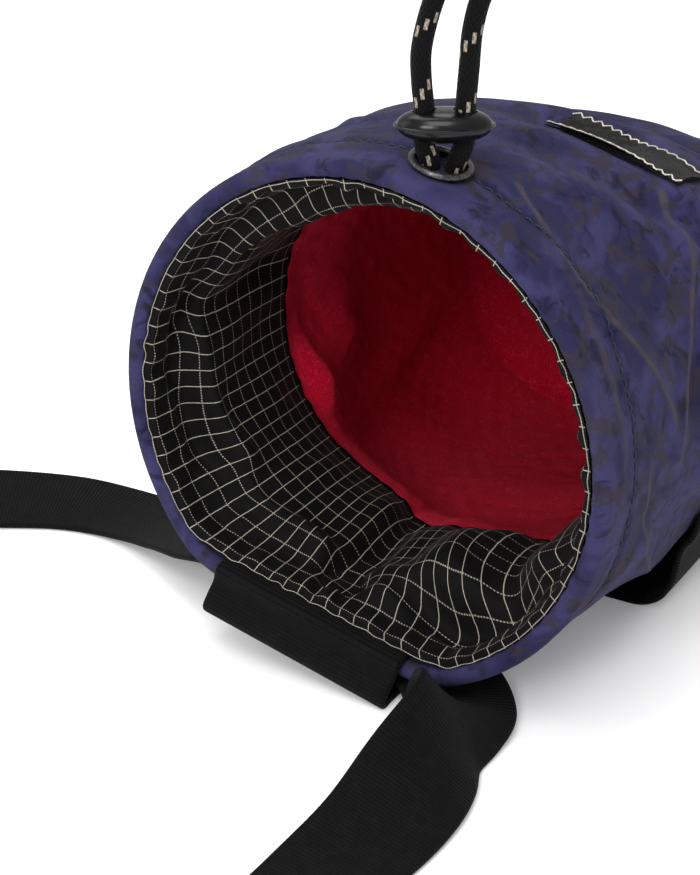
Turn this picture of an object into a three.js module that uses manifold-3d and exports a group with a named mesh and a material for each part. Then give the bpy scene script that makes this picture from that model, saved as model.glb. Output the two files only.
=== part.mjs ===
// Climbing chalk bag lying on its back: fabric shell, ripstop collar, fleece liner, webbing and draw cord.
// Millimetres, +Z up, floor at z = 0. The bag axis runs along +Y and the mouth faces -Y.
// The origin is the middle of the flat patch on which the shell rests.
import * as THREE from 'three';
import Module from 'manifold-3d';
import { mergeVertices } from 'three/addons/utils/BufferGeometryUtils.js';

const wasm = await Module();
wasm.setup();

// Driving sizes of the bag
const MOUTH_RADIUS = 60;
const BAG_DEPTH = 165;
const AXIS_HEIGHT = 62;
const SHELL_WALL = 1.6;
const HEM_WIDTH = 4.4;
const HEM_DEPTH = 6.5;
const CHANNEL_DEPTH = 12;
const COLLAR_WALL = 1.2;
const COLLAR_DEPTH = 50;
const FLEECE_WALL = 2.2;
const BASE_WALL = 1.6;
const FIT_GAP = 0.4;

// Driving sizes of the webbing, cord and trim
const LOOP_WIDTH = 50;
const LOOP_WALL = 1.6;
const LOOP_TURN = 13;
const LOOP_LENGTH = 46;
const BELT_WIDTH = 25;
const BELT_WALL = 1.5;
const BUCKLE_LENGTH = 46;
const BUCKLE_WIDTH = 33;
const BUCKLE_THICK = 8;
const BUCKLE_GRIP = 7;
const BRUSH_LOOP_WIDTH = 50;
const BRUSH_LOOP_WALL = 1.5;
const CORD_DIAMETER = 4.2;
const LOCK_LENGTH = 20.5;
const LOCK_DEPTH = 12;
const LOCK_HEIGHT = 6.6;
const LOCK_BORE_SPREAD = 4.1;
const EYELET_HOLE = 10.8;
const EYELET_OUTER = 13.8;
const EYELET_LIP = 0.9;
const EYELET_WALL = 0.5;
const LABEL_LENGTH = 35;
const LABEL_WIDTH = 17;
const LABEL_WALL = 1.0;

// How finely the round pieces are cut into facets
const SHELL_SIDES = 54;
const COLLAR_SIDES = 50;
const LINER_SIDES = 34;

const RAD = Math.PI / 180;
const FULL_TURN = 360;

// Where the shell rests: the middle of its flat patch, from the mouth
const REST_BACK = 0.6 * BAG_DEPTH;

// Sections of the shell from the mouth to the base. Depth is a share of BAG_DEPTH; half width, crown and
// under side are shares of MOUTH_RADIUS; the two powers square off the upper and the lower half.
const SHELL_SECTIONS = [
  { at: 0.0, wide: 1.0, crown: 1.03, under: 1.0, upper: 2.0, lower: 2.0, lean: 0.0 },
  { at: 0.1, wide: 1.01, crown: 1.045, under: 1.0, upper: 2.0, lower: 2.0, lean: 0.0 },
  { at: 0.2, wide: 1.01, crown: 1.02, under: 1.02, upper: 2.1, lower: 2.1, lean: 0.0 },
  { at: 0.32, wide: 1.01, crown: 0.99, under: 1.04, upper: 2.25, lower: 2.3, lean: 0.0 },
  { at: 0.45, wide: 1.02, crown: 0.95, under: 1.055, upper: 2.35, lower: 2.55, lean: 0.01 },
  { at: 0.6, wide: 1.03, crown: 0.86, under: 1.06, upper: 2.35, lower: 2.6, lean: 0.04 },
  { at: 0.75, wide: 1.03, crown: 0.74, under: 1.06, upper: 2.3, lower: 2.6, lean: 0.09 },
  { at: 0.88, wide: 1.0, crown: 0.62, under: 1.055, upper: 2.2, lower: 2.5, lean: 0.14 },
  { at: 1.0, wide: 0.94, crown: 0.5, under: 1.04, upper: 2.1, lower: 2.4, lean: 0.17 },
];

// Folds of the shell as lines on its surface: clock angle from the top in degrees and depth share at both
// ends, half width and height as shares of MOUTH_RADIUS. A negative height is a crease.
const SHELL_FOLDS = [
  { name: 'eyelet_ridge', angle: 27, at: 0.17, toAngle: 62, toAt: 0.34, half: 0.11, high: 0.04 },
  { name: 'eyelet_valley', angle: 18, at: 0.27, toAngle: 46, toAt: 0.34, half: 0.12, high: -0.03 },
  { name: 'label_valley', angle: 8, at: 0.43, toAngle: 24, toAt: 0.45, half: 0.17, high: -0.075 },
  { name: 'shoulder_ridge', angle: 47, at: 0.4, toAngle: 60, toAt: 0.52, half: 0.13, high: 0.065 },
  { name: 'side_ridge', angle: 68, at: 0.37, toAngle: 98, toAt: 0.32, half: 0.1, high: 0.045 },
  { name: 'side_crease', angle: 74, at: 0.47, toAngle: 92, toAt: 0.42, half: 0.1, high: -0.085 },
  { name: 'low_pleat', angle: 102, at: 0.16, toAngle: 122, toAt: 0.5, half: 0.1, high: -0.022 },
  { name: 'low_ridge', angle: 114, at: 0.12, toAngle: 134, toAt: 0.4, half: 0.1, high: 0.022 },
  { name: 'brush_seat', angle: 138, at: 0.42, toAngle: 138, toAt: 0.7, half: 0.16, high: -0.09 },
  { name: 'crown_sag', angle: -25, at: 0.62, toAngle: 25, toAt: 0.66, half: 0.2, high: -0.07 },
  { name: 'left_sag', angle: -72, at: 0.36, toAngle: -50, toAt: 0.7, half: 0.13, high: -0.06 },
  { name: 'left_ridge', angle: -92, at: 0.3, toAngle: -66, toAt: 0.78, half: 0.09, high: 0.045 },
  { name: 'left_low_sag', angle: -118, at: 0.4, toAngle: -98, toAt: 0.86, half: 0.1, high: -0.045 },
  { name: 'rear_ridge', angle: 30, at: 0.72, toAngle: 70, toAt: 0.94, half: 0.09, high: 0.05 },
  { name: 'rear_crease', angle: -12, at: 0.8, toAngle: 34, toAt: 0.92, half: 0.08, high: -0.06 },
];

// Profiles of the collar round the mouth, by clock angle from the top. Radii are shares of MOUTH_RADIUS,
// depths shares of COLLAR_DEPTH: the puffed crest, the stretch behind it and the end seam.
const COLLAR_PROFILES = [
  { angle: 0, crest: 0.79, crestAt: 0.36, behind: 0.84, behindAt: 0.7, end: 0.86, endAt: 1.0 },
  { angle: 30, crest: 0.82, crestAt: 0.36, behind: 0.85, behindAt: 0.7, end: 0.86, endAt: 0.98 },
  { angle: 60, crest: 0.84, crestAt: 0.36, behind: 0.86, behindAt: 0.68, end: 0.86, endAt: 0.96 },
  { angle: 90, crest: 0.83, crestAt: 0.38, behind: 0.84, behindAt: 0.68, end: 0.85, endAt: 0.94 },
  { angle: 120, crest: 0.79, crestAt: 0.4, behind: 0.79, behindAt: 0.66, end: 0.83, endAt: 0.92 },
  { angle: 150, crest: 0.68, crestAt: 0.44, behind: 0.66, behindAt: 0.7, end: 0.76, endAt: 0.94 },
  { angle: 180, crest: 0.66, crestAt: 0.46, behind: 0.62, behindAt: 0.74, end: 0.7, endAt: 0.96 },
  { angle: 210, crest: 0.67, crestAt: 0.42, behind: 0.63, behindAt: 0.72, end: 0.68, endAt: 0.96 },
  { angle: 240, crest: 0.73, crestAt: 0.4, behind: 0.7, behindAt: 0.7, end: 0.73, endAt: 0.94 },
  { angle: 270, crest: 0.78, crestAt: 0.38, behind: 0.77, behindAt: 0.68, end: 0.78, endAt: 0.94 },
  { angle: 300, crest: 0.8, crestAt: 0.38, behind: 0.83, behindAt: 0.72, end: 0.84, endAt: 1.0 },
  { angle: 330, crest: 0.77, crestAt: 0.36, behind: 0.84, behindAt: 0.74, end: 0.87, endAt: 1.06 },
];

// Folds of the collar: clock angle and place from the crease (0) to the end seam (1) at both ends of each
// fold, half width and height as shares of MOUTH_RADIUS. A positive height stands into the mouth.
const COLLAR_FOLDS = [
  { name: 'low_roll', angle: 238, at: 0.28, toAngle: 206, toAt: 0.36, half: 0.14, high: 0.08 },
  { name: 'floor_bulge', angle: 176, at: 0.24, toAngle: 156, toAt: 0.66, half: 0.18, high: 0.09 },
  { name: 'deep_crease', angle: 192, at: 0.1, toAngle: 190, toAt: 0.95, half: 0.1, high: -0.1 },
  { name: 'left_puff', angle: 276, at: 0.34, toAngle: 246, toAt: 0.5, half: 0.15, high: 0.055 },
  { name: 'left_valley', angle: 287, at: 0.2, toAngle: 291, toAt: 0.85, half: 0.11, high: -0.045 },
  { name: 'upper_puff', angle: 304, at: 0.3, toAngle: 330, toAt: 0.36, half: 0.14, high: 0.045 },
  { name: 'right_pleat', angle: 141, at: 0.1, toAngle: 139, toAt: 0.95, half: 0.1, high: -0.06 },
  { name: 'right_puff', angle: 124, at: 0.25, toAngle: 122, toAt: 0.8, half: 0.11, high: 0.04 },
];

// Sections of the fleece pouch behind the end seam of the collar, as shares of the way from the seam to
// the pouch floor and of the room inside the shell.
const LINER_SECTIONS = [
  { at: 0.0, room: 0.0, bulge: 0.0 },
  { at: 0.12, room: 0.55, bulge: 1.0 },
  { at: 0.3, room: 0.85, bulge: 0.8 },
  { at: 0.6, room: 0.94, bulge: 0.2 },
  { at: 0.85, room: 0.92, bulge: 0.0 },
  { at: 1.0, room: 0.8, bulge: 0.0 },
];

// The belt, by hand: a row for each station of its middle line from the buckle round to the buckle.
// x, y and z are shares of MOUTH_RADIUS from the middle of the mouth on the floor. hang is how far z counts
// from the axis (1) and not from the floor (0); tip is how far the edge on the inner side of the turn
// stands up, in degrees.
const BELT_ROUTE = [
  { x: -2.75, y: -4.2667, z: 0.04, hang: 0, tip: 0 },
  { x: -3.3833, y: -3.7667, z: 0.015, hang: 0, tip: 0 },
  { x: -3.8667, y: -2.9333, z: 0.015, hang: 0, tip: 0 },
  { x: -3.9667, y: -1.9333, z: 0.015, hang: 0, tip: 0 },
  { x: -3.6667, y: -0.9333, z: 0.0233, hang: 0, tip: -3 },
  { x: -3.1, y: -0.2, z: 0.0417, hang: 0, tip: -8 },
  { x: -2.5, y: 0.2333, z: 0.0533, hang: 0, tip: -11 },
  { x: -2.1167, y: 0.4667, z: 0.05, hang: 0, tip: -10 },
  { x: -1.8333, y: 0.6167, z: 0.0367, hang: 0, tip: -6 },
  { x: -1.6167, y: 0.6667, z: 0.0267, hang: 0, tip: -2 },
  { x: -1.4, y: 0.65, z: 0.04, hang: 0, tip: 0 },
  { x: -1.1667, y: 0.5667, z: -0.3027, hang: 0.38, tip: 0 },
  { x: -0.9333, y: 0.45, z: -0.56, hang: 0.7, tip: 0 },
  { x: -0.7, y: 0.3667, z: -0.7983, hang: 1, tip: 0 },
  { x: -0.4667, y: 0.3167, z: -0.8367, hang: 1, tip: 0 },
  { x: -0.2333, y: 0.2833, z: -0.8933, hang: 1, tip: 0 },
  { x: 0, y: 0.2667, z: -0.9467, hang: 1, tip: 0 },
  { x: 0.1667, y: 0.25, z: -0.9733, hang: 1, tip: 0 },
  { x: 0.3167, y: 0.1917, z: -0.575, hang: 0.6, tip: 2 },
  { x: 0.4417, y: 0.0583, z: -0.2633, hang: 0.3, tip: 5 },
  { x: 0.5167, y: -0.1, z: 0.1367, hang: 0, tip: 38 },
  { x: 0.5667, y: -0.2667, z: 0.1767, hang: 0, tip: 56 },
  { x: 0.5917, y: -0.4667, z: 0.1467, hang: 0, tip: 40 },
  { x: 0.575, y: -0.7333, z: 0.0667, hang: 0, tip: 14 },
  { x: 0.5333, y: -1.0667, z: 0.0233, hang: 0, tip: 2 },
  { x: 0.5167, y: -1.5, z: 0.015, hang: 0, tip: 0 },
  { x: 0.6, y: -2.1667, z: 0.015, hang: 0, tip: 0 },
  { x: 0.6333, y: -2.8667, z: 0.015, hang: 0, tip: 0 },
  { x: 0.4333, y: -3.5667, z: 0.015, hang: 0, tip: 0 },
  { x: -0.0667, y: -4.1667, z: 0.015, hang: 0, tip: 0 },
  { x: -0.7, y: -4.5333, z: 0.04, hang: 0, tip: 0 },
];

// The draw cord, by hand: its middle line from under the eyelet up through the lock, round the bight and
// back. across runs along the lock, away is square to it and up is above the middle of the eyelet.
const CORD_ROUTE = [
  { across: -2.3, away: 0.4, up: -3.2 },
  { across: -2.05, away: 0.05, up: 0.0 },
  { across: -2.45, away: 0.0, up: 2.4 },
  { across: -3.2, away: 0.0, up: 4.4 },
  { across: -3.4, away: 0.0, up: 6.0 },
  { across: -3.4, away: 0.0, up: 11.6 },
  { across: -4.0, away: 0.2, up: 17.0 },
  { across: -4.2, away: 0.5, up: 23.0 },
  { across: -3.1, away: 0.9, up: 29.0 },
  { across: -1.2, away: 1.4, up: 35.0 },
  { across: 1.6, away: 2.0, up: 41.5 },
  { across: 3.9, away: 2.8, up: 48.5 },
  { across: 7.4, away: 3.6, up: 55.5 },
  { across: 13.6, away: 4.2, up: 59.6 },
  { across: 20.4, away: 4.4, up: 57.4 },
  { across: 21.8, away: 3.8, up: 50.6 },
  { across: 17.4, away: 2.9, up: 45.0 },
  { across: 12.0, away: 2.0, up: 40.6 },
  { across: 7.9, away: 1.2, up: 35.0 },
  { across: 5.9, away: 0.5, up: 28.0 },
  { across: 5.3, away: 0.1, up: 20.0 },
  { across: 4.8, away: 0.0, up: 11.6 },
  { across: 4.8, away: 0.0, up: 6.0 },
  { across: 4.4, away: 0.0, up: 3.9 },
  { across: 3.05, away: 0.1, up: 0.3 },
  { across: 2.05, away: 0.4, up: -3.2 },
];

// Places of the trim on the shell: clock angle from the top and depth from the mouth
const EYELET_ANGLE = 14.5;
const EYELET_BACK = 0.85 * CHANNEL_DEPTH;
const LABEL_ANGLE = 26;
const LABEL_BACK = 0.44 * BAG_DEPTH;
const LOCK_TURN = 31;
const LOCK_SHIFT = 0.7;
const LOCK_RISE = 8.6;

function mix(a, b, share) {
  return a + (b - a) * share;
}

function smooth(share) {
  const s = Math.min(1, Math.max(0, share));
  return s * s * (3 - 2 * s);
}

// Reads a column of a table between its rows with a smooth curve; period closes the table on itself.
function column(rows, key, name, at, period = 0) {
  const count = rows.length;
  const place = (i) => {
    const wrapped = ((i % count) + count) % count;
    return { t: rows[wrapped][key] + (i - wrapped) / count * period, v: rows[wrapped][name] };
  };
  const point = (i) => (period ? place(i) : place(Math.min(count - 1, Math.max(0, i))));
  let i = 0;
  while (i < (period ? count - 1 : count - 2) && point(i + 1).t <= at) {
    i += 1;
  }
  const [before, from, to, after] = [point(i - 1), point(i), point(i + 1), point(i + 2)];
  const span = to.t - from.t;
  const s = Math.min(1, Math.max(0, (at - from.t) / span));
  const slopeFrom = (to.v - before.v) / (to.t - before.t);
  const slopeTo = (after.v - from.v) / (after.t - from.t);
  const s2 = s * s;
  const s3 = s2 * s;
  return (2 * s3 - 3 * s2 + 1) * from.v + (s3 - 2 * s2 + s) * span * slopeFrom
    + (3 * s2 - 2 * s3) * to.v + (s3 - s2) * span * slopeTo;
}

function angleBetween(a, b) {
  return ((a - b + FULL_TURN * 1.5) % FULL_TURN) - FULL_TURN / 2;
}

// Height of all folds of a table at a place, as a share of MOUTH_RADIUS. Each is a rounded ridge along a
// line, and reach turns depth shares into the same length as the angle.
function foldHeight(folds, angle, at, reach) {
  let height = 0;
  for (const fold of folds) {
    const across = angleBetween(fold.toAngle, fold.angle) * RAD;
    const along = (fold.toAt - fold.at) * reach;
    const px = angleBetween(angle, fold.angle) * RAD;
    const py = (at - fold.at) * reach;
    const length2 = across * across + along * along;
    const s = Math.min(1, Math.max(0, (px * across + py * along) / length2));
    const gap = Math.hypot(px - s * across, py - s * along) / fold.half;
    height += fold.high * Math.exp(-gap * gap);
  }
  return height;
}

// Joins rings of points into one closed solid. Rings that do not close on themselves end in a fan.
function ringSolid(rings, closed) {
  const sides = rings[0].length;
  const positions = rings.flat().flatMap((p) => [p.x, p.y, p.z]);
  const index = [];
  const bands = closed ? rings.length : rings.length - 1;
  for (let j = 0; j < bands; j += 1) {
    const a = j * sides;
    const b = ((j + 1) % rings.length) * sides;
    for (let i = 0; i < sides; i += 1) {
      const n = (i + 1) % sides;
      index.push(a + i, a + n, b + n, a + i, b + n, b + i);
    }
  }
  if (!closed) {
    for (const [start, flip] of [[0, true], [(rings.length - 1) * sides, false]]) {
      const centre = new THREE.Vector3();
      const ring = start ? rings[rings.length - 1] : rings[0];
      ring.forEach((p) => centre.addScaledVector(p, 1 / sides));
      const hub = positions.length / 3;
      positions.push(centre.x, centre.y, centre.z);
      for (let i = 0; i < sides; i += 1) {
        const n = (i + 1) % sides;
        index.push(hub, start + (flip ? n : i), start + (flip ? i : n));
      }
    }
  }
  const geometry = new THREE.BufferGeometry();
  geometry.setAttribute('position', new THREE.Float32BufferAttribute(positions, 3));
  geometry.setIndex(index);
  return facingOut(geometry);
}

// Turns a closed geometry inside out if its volume comes out negative.
function facingOut(geometry) {
  const p = geometry.attributes.position;
  const index = geometry.index.array;
  const [a, b, c] = [new THREE.Vector3(), new THREE.Vector3(), new THREE.Vector3()];
  let volume = 0;
  for (let i = 0; i < index.length; i += 3) {
    a.fromBufferAttribute(p, index[i]);
    b.fromBufferAttribute(p, index[i + 1]);
    c.fromBufferAttribute(p, index[i + 2]);
    volume += a.dot(b.cross(c));
  }
  if (volume < 0) {
    for (let i = 0; i < index.length; i += 3) {
      [index[i + 1], index[i + 2]] = [index[i + 2], index[i + 1]];
    }
  }
  return geometry;
}

// Second skin of a wall: each point of a grid of rings moved along its normal by thick(ring).
function offsetRings(rings, thick) {
  const sides = rings[0].length;
  return rings.map((ring, j) => ring.map((p, i) => {
    const round = ring[(i + 1) % sides].clone().sub(ring[(i + sides - 1) % sides]);
    const back = rings[Math.min(rings.length - 1, j + 1)][i].clone().sub(rings[Math.max(0, j - 1)][i]);
    return p.clone().addScaledVector(round.cross(back).normalize(), thick(j));
  }));
}

function toManifold(geometry) {
  const bare = geometry.clone();
  bare.deleteAttribute('normal');
  bare.deleteAttribute('uv');
  const merged = mergeVertices(bare, 1e-4);
  return new wasm.Manifold(new wasm.Mesh({
    numProp: 3,
    vertProperties: new Float32Array(merged.attributes.position.array),
    triVerts: new Uint32Array(merged.index.array),
  }));
}

function fromManifold(solid) {
  const mesh = solid.getMesh();
  const geometry = new THREE.BufferGeometry();
  geometry.setAttribute('position', new THREE.Float32BufferAttribute(mesh.vertProperties, 3));
  geometry.setIndex([...mesh.triVerts]);
  return geometry;
}

// Outside of the shell at a clock angle and a depth share, with its sag, folds and flat patches.
function shellPoint(angle, at, withFolds = true) {
  const get = (name) => column(SHELL_SECTIONS, 'at', name, at);
  const sin = Math.sin(angle * RAD);
  const cos = Math.cos(angle * RAD);
  const power = 2 / (cos > 0 ? get('upper') : get('lower'));
  let x = Math.sign(sin) * Math.abs(sin) ** power * get('wide');
  let z = Math.sign(cos) * Math.abs(cos) ** power * (cos > 0 ? get('crown') : get('under'));
  if (withFolds) {
    const size = 1 + foldHeight(SHELL_FOLDS, angle, at, BAG_DEPTH / MOUTH_RADIUS);
    x *= size;
    z *= size;
  }
  const seat = seatPull(x, z, at);
  x *= MOUTH_RADIUS * seat;
  z *= MOUTH_RADIUS * seat;
  const y = at * BAG_DEPTH - get('lean') * z;
  return new THREE.Vector3(x, y, Math.max(0, AXIS_HEIGHT + z));
}

// The webbing pulls the mouth flat over the belt loop: how far a point is drawn in, as a share.
const SEAT_REACH = 0.86;
function seatPull(x, z, at) {
  const depth = -(z * Math.cos(LOOP_TURN * RAD) + x * Math.sin(LOOP_TURN * RAD));
  const fade = 1 - smooth((at * BAG_DEPTH - LOOP_LENGTH) / (0.45 * LOOP_LENGTH));
  if (depth <= 0) {
    return 1;
  }
  const over = Math.max(0, depth - SEAT_REACH + 0.06) / 0.12;
  const soft = over < 1 ? 0.06 * over * over : depth - SEAT_REACH;
  return 1 - fade * soft / depth;
}

const SHELL_STATIONS = [0.0, 0.008, 0.024, 0.04, 0.075, 0.13, 0.19, 0.25, 0.31, 0.36, 0.41, 0.46, 0.51,
  0.58, 0.67, 0.77, 0.88, 1.0];
const HEM_ROUND = 1.3;

function shellRings() {
  return SHELL_STATIONS.map((at) => {
    const front = Math.max(0, 1 - at * BAG_DEPTH / HEM_ROUND);
    const shrink = 1 - (HEM_ROUND / MOUTH_RADIUS) * (1 - Math.sqrt(1 - front * front));
    const ring = [];
    for (let i = 0; i < SHELL_SIDES; i += 1) {
      const p = shellPoint(i * FULL_TURN / SHELL_SIDES, at);
      p.x *= shrink;
      p.z = AXIS_HEIGHT + (p.z - AXIS_HEIGHT) * shrink;
      ring.push(p);
    }
    return ring;
  });
}

// Wall of the shell at a station: the turned hem is thicker than the single fabric behind it, and rounded
// at its front.
function shellWall(station) {
  const back = SHELL_STATIONS[station] * BAG_DEPTH;
  const front = Math.max(0, 1 - back / HEM_ROUND);
  const round = 2 * HEM_ROUND * (1 - Math.sqrt(1 - front * front));
  return mix(HEM_WIDTH - round, SHELL_WALL, smooth((back - 0.55 * HEM_DEPTH) / (0.45 * HEM_DEPTH)));
}

// Ring moved inwards square to its own line, without moving it in depth.
function insetRing(ring, thick) {
  return ring.map((p, i) => {
    const round = ring[(i + 1) % ring.length].clone().sub(ring[(i + ring.length - 1) % ring.length]);
    const inwards = new THREE.Vector3(round.z, 0, -round.x).normalize();
    return p.clone().addScaledVector(inwards, inwards.x * p.x + inwards.z * (p.z - AXIS_HEIGHT) > 0 ? -thick : thick);
  });
}

const outerShell = shellRings();
const innerShell = offsetRings(outerShell, (j) => -shellWall(j));
SHELL_STATIONS.forEach((at, j) => {
  if (at * BAG_DEPTH < 2 * HEM_DEPTH) {
    innerShell[j] = insetRing(outerShell[j], shellWall(j));
  }
});

function makeShell() {
  const wall = ringSolid([...outerShell, ...[...innerShell].reverse()], true);
  const boreRadius = EYELET_HOLE / 2 + EYELET_WALL + 0.35;
  const bore = new THREE.CylinderGeometry(boreRadius, boreRadius, 8 * SHELL_WALL, 20);
  bore.rotateX(Math.PI / 2);
  bore.applyMatrix4(eyeletFrame());
  return fromManifold(toManifold(wall).subtract(toManifold(bore)));
}

// Frame of the eyelet: local z points out of the shell at the eyelet's place.
function eyeletFrame() {
  return surfaceFrame(EYELET_ANGLE, EYELET_BACK / BAG_DEPTH);
}

// Frame on the outside of the shell: x runs round it, y towards the base, z out.
function surfaceFrame(angle, at, withFolds = false) {
  const step = 0.01;
  const point = (turn, along) => shellPoint(angle + turn, at + along, withFolds);
  const here = point(0, 0);
  const round = point(2, 0).sub(point(-2, 0)).normalize();
  const back = point(0, step).sub(point(0, -step)).normalize();
  const out = round.clone().cross(back).normalize();
  const square = out.clone().cross(round).normalize();
  return new THREE.Matrix4().makeBasis(round, square, out).setPosition(here);
}

// Frame at the mouth's centre, turned so that x runs along the belt loop and z stands square to it.
function loopFrame() {
  return new THREE.Matrix4().makeRotationY(LOOP_TURN * RAD).setPosition(0, 0, AXIS_HEIGHT);
}

const LOOP_ANGLE = 180 + LOOP_TURN;
const LOOP_HALF_ANGLE = Math.asin(LOOP_WIDTH / 2 / (SEAT_REACH * MOUTH_RADIUS)) / RAD;

// Direction from the axis to the shell at a clock angle, so that all skins share the same spokes.
function spoke(angle) {
  const p = shellPoint(angle, 2 / BAG_DEPTH, false);
  return new THREE.Vector3(p.x, 0, p.z - AXIS_HEIGHT).normalize();
}

// Radius of the collar where it is sewn into the hem, leaving room for the webbing that is sewn in there.
function collarMouth(angle) {
  const p = shellPoint(angle, 2 / BAG_DEPTH, false);
  const round = shellPoint(angle + 1, 2 / BAG_DEPTH, false).sub(shellPoint(angle - 1, 2 / BAG_DEPTH, false));
  const outer = Math.hypot(p.x, p.z - AXIS_HEIGHT);
  const slant = Math.hypot(round.x, round.z) * outer / Math.abs(round.x * (p.z - AXIS_HEIGHT) - round.z * p.x);
  const away = Math.abs(angleBetween(angle, LOOP_ANGLE)) - LOOP_HALF_ANGLE;
  const webbing = (LOOP_WALL + FIT_GAP + 0.3) * (1 - smooth((away - 3) / 8));
  return outer - (HEM_WIDTH + FIT_GAP + COLLAR_WALL + webbing) * slant;
}

const COLLAR_STATIONS = [0, 0.06, 0.13, 0.22, 0.29, 0.36, 0.44, 0.53, 0.62, 0.72, 0.82, 0.91, 1];
const CREASE_STATION = 0.22;

// The collar's visible side at one clock angle: hem, channel, crease, puffed crest and end seam.
function collarProfile(angle) {
  const get = (name) => column(COLLAR_PROFILES, 'angle', name, angle, FULL_TURN);
  const mouth = collarMouth(angle);
  const channel = [
    [mouth, 1.2], [mouth - 0.6, 0.3 * CHANNEL_DEPTH], [mouth - 0.8, 0.6 * CHANNEL_DEPTH],
    [mouth + 0.2, CHANNEL_DEPTH],
  ];
  const reach = (share) => Math.min(share * MOUTH_RADIUS, mouth + 1);
  const sleeve = [
    [reach(mix(mouth / MOUTH_RADIUS, get('crest'), 0.75)), mix(CHANNEL_DEPTH, get('crestAt') * COLLAR_DEPTH, 0.4)],
    [reach(get('crest')), get('crestAt') * COLLAR_DEPTH],
    [reach(get('behind')), get('behindAt') * COLLAR_DEPTH],
    [reach(get('end')), get('endAt') * COLLAR_DEPTH],
  ];
  const points = [...channel, ...sleeve].map(([r, y]) => new THREE.Vector3(r, y, 0));
  return new THREE.CatmullRomCurve3(points, false, 'centripetal');
}

// Point of the collar's visible side, with its folds.
function collarPoint(angle, station) {
  const p = collarProfile(angle).getPoint(station);
  const place = (station - CREASE_STATION) / (1 - CREASE_STATION);
  const fade = smooth(place / 0.2);
  const fold = place > 0 ? foldHeight(COLLAR_FOLDS, angle, place, COLLAR_DEPTH / MOUTH_RADIUS) * fade : 0;
  const limit = collarMouth(angle) + 1;
  const radius = Math.min(limit, p.x - fold * MOUTH_RADIUS);
  return spoke(angle).multiplyScalar(radius).add(new THREE.Vector3(0, p.y, AXIS_HEIGHT));
}

function collarRings() {
  return COLLAR_STATIONS.map((station) => {
    const ring = [];
    for (let i = 0; i < COLLAR_SIDES; i += 1) {
      ring.push(collarPoint(i * FULL_TURN / COLLAR_SIDES, station));
    }
    return ring;
  });
}

function makeCollar() {
  const seen = collarRings();
  const hidden = offsetRings(seen, () => COLLAR_WALL);
  hidden[hidden.length - 1] = fromAxis(seen[seen.length - 1], COLLAR_WALL);
  return ringSolid([...seen, ...hidden.reverse()], true);
}

// Ring moved straight away from the axis.
function fromAxis(ring, thick) {
  return ring.map((p) => {
    const out = new THREE.Vector3(p.x, 0, p.z - AXIS_HEIGHT).normalize();
    return p.clone().addScaledVector(out, thick);
  });
}

const LINER_FLOOR = BAG_DEPTH - 16;
const LINER_LOBES = [
  { name: 'left_lobe', angle: 252, at: 0.1, toAngle: 262, toAt: 0.26, half: 0.26, high: 0.14 },
  { name: 'crown_droop', angle: 330, at: 0.3, toAngle: 20, toAt: 0.4, half: 0.3, high: 0.06 },
  { name: 'floor_swell', angle: 150, at: 0.2, toAngle: 170, toAt: 0.5, half: 0.2, high: 0.05 },
];

// Point of the fleece pouch's visible side, from the collar's end seam (0) to the pouch floor (1).
function linerPoint(angle, place) {
  const get = (name) => column(LINER_SECTIONS, 'at', name, place);
  const seam = collarPoint(angle, 1);
  const seamRadius = Math.hypot(seam.x, seam.z - AXIS_HEIGHT);
  const y = mix(seam.y + 2 * FIT_GAP, LINER_FLOOR, place);
  const wall = shellAtDepth(angle, y);
  const room = roomInside(angle, y) - SHELL_WALL - FLEECE_WALL - 1.6;
  const lobe = foldHeight(LINER_LOBES, angle, place, (LINER_FLOOR - COLLAR_DEPTH) / MOUTH_RADIUS);
  const wide = place > 0 ? Math.min(room, mix(seamRadius, room, get('room'))) : seamRadius;
  const radius = wide - lobe * MOUTH_RADIUS * smooth(place / 0.08);
  const direction = wallDirection(wall, angle, smooth(place / 0.22));
  return direction.multiplyScalar(radius).add(new THREE.Vector3(0, y, AXIS_HEIGHT));
}

function wallDirection(wall, angle, share) {
  const to = new THREE.Vector3(wall.x, 0, wall.z - AXIS_HEIGHT).normalize();
  return spoke(angle).lerp(to, share).normalize();
}

// Outside of the shell at a clock angle and a depth in millimetres.
function shellAtDepth(angle, y) {
  let at = y / BAG_DEPTH;
  for (let i = 0; i < 4; i += 1) {
    at = Math.min(1, at + (y - shellPoint(angle, at).y) / BAG_DEPTH);
  }
  return shellPoint(angle, at);
}

// Smallest radius of the shell round a place, so that its creases don't touch what hangs inside.
function roomInside(angle, y) {
  let least = Infinity;
  for (const turn of [-7, 0, 7]) {
    for (const step of [-6, 0, 6]) {
      const p = shellAtDepth(angle + turn, y + step);
      least = Math.min(least, Math.hypot(p.x, p.z - AXIS_HEIGHT));
    }
  }
  return least;
}

const LINER_STATIONS = [0, 0.05, 0.12, 0.22, 0.34, 0.48, 0.64, 0.82, 0.94, 1];

function makeLiner() {
  const seen = LINER_STATIONS.map((place) => {
    const ring = [];
    for (let i = 0; i < LINER_SIDES; i += 1) {
      ring.push(linerPoint(i * FULL_TURN / LINER_SIDES, place));
    }
    return ring;
  });
  const middle = new THREE.Vector3();
  seen[seen.length - 1].forEach((p) => middle.addScaledVector(p, 1 / LINER_SIDES));
  const floorRing = (ring, share, back) => ring.map((p) => {
    const q = middle.clone().lerp(p, share);
    q.y += back;
    return q;
  });
  const hidden = offsetRings(seen, () => FLEECE_WALL);
  hidden[0] = fromAxis(seen[0], FLEECE_WALL);
  const last = seen[seen.length - 1];
  const seenFloor = [floorRing(last, 0.75, 2), floorRing(last, 0.4, 3)];
  const lastHidden = hidden[hidden.length - 1];
  const hiddenFloor = [floorRing(lastHidden, 0.75, 2 + FLEECE_WALL), floorRing(lastHidden, 0.4, 3 + FLEECE_WALL)];
  return ringSolid([...[...seen, ...seenFloor].reverse(), ...hidden, ...hiddenFloor], false);
}

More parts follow.
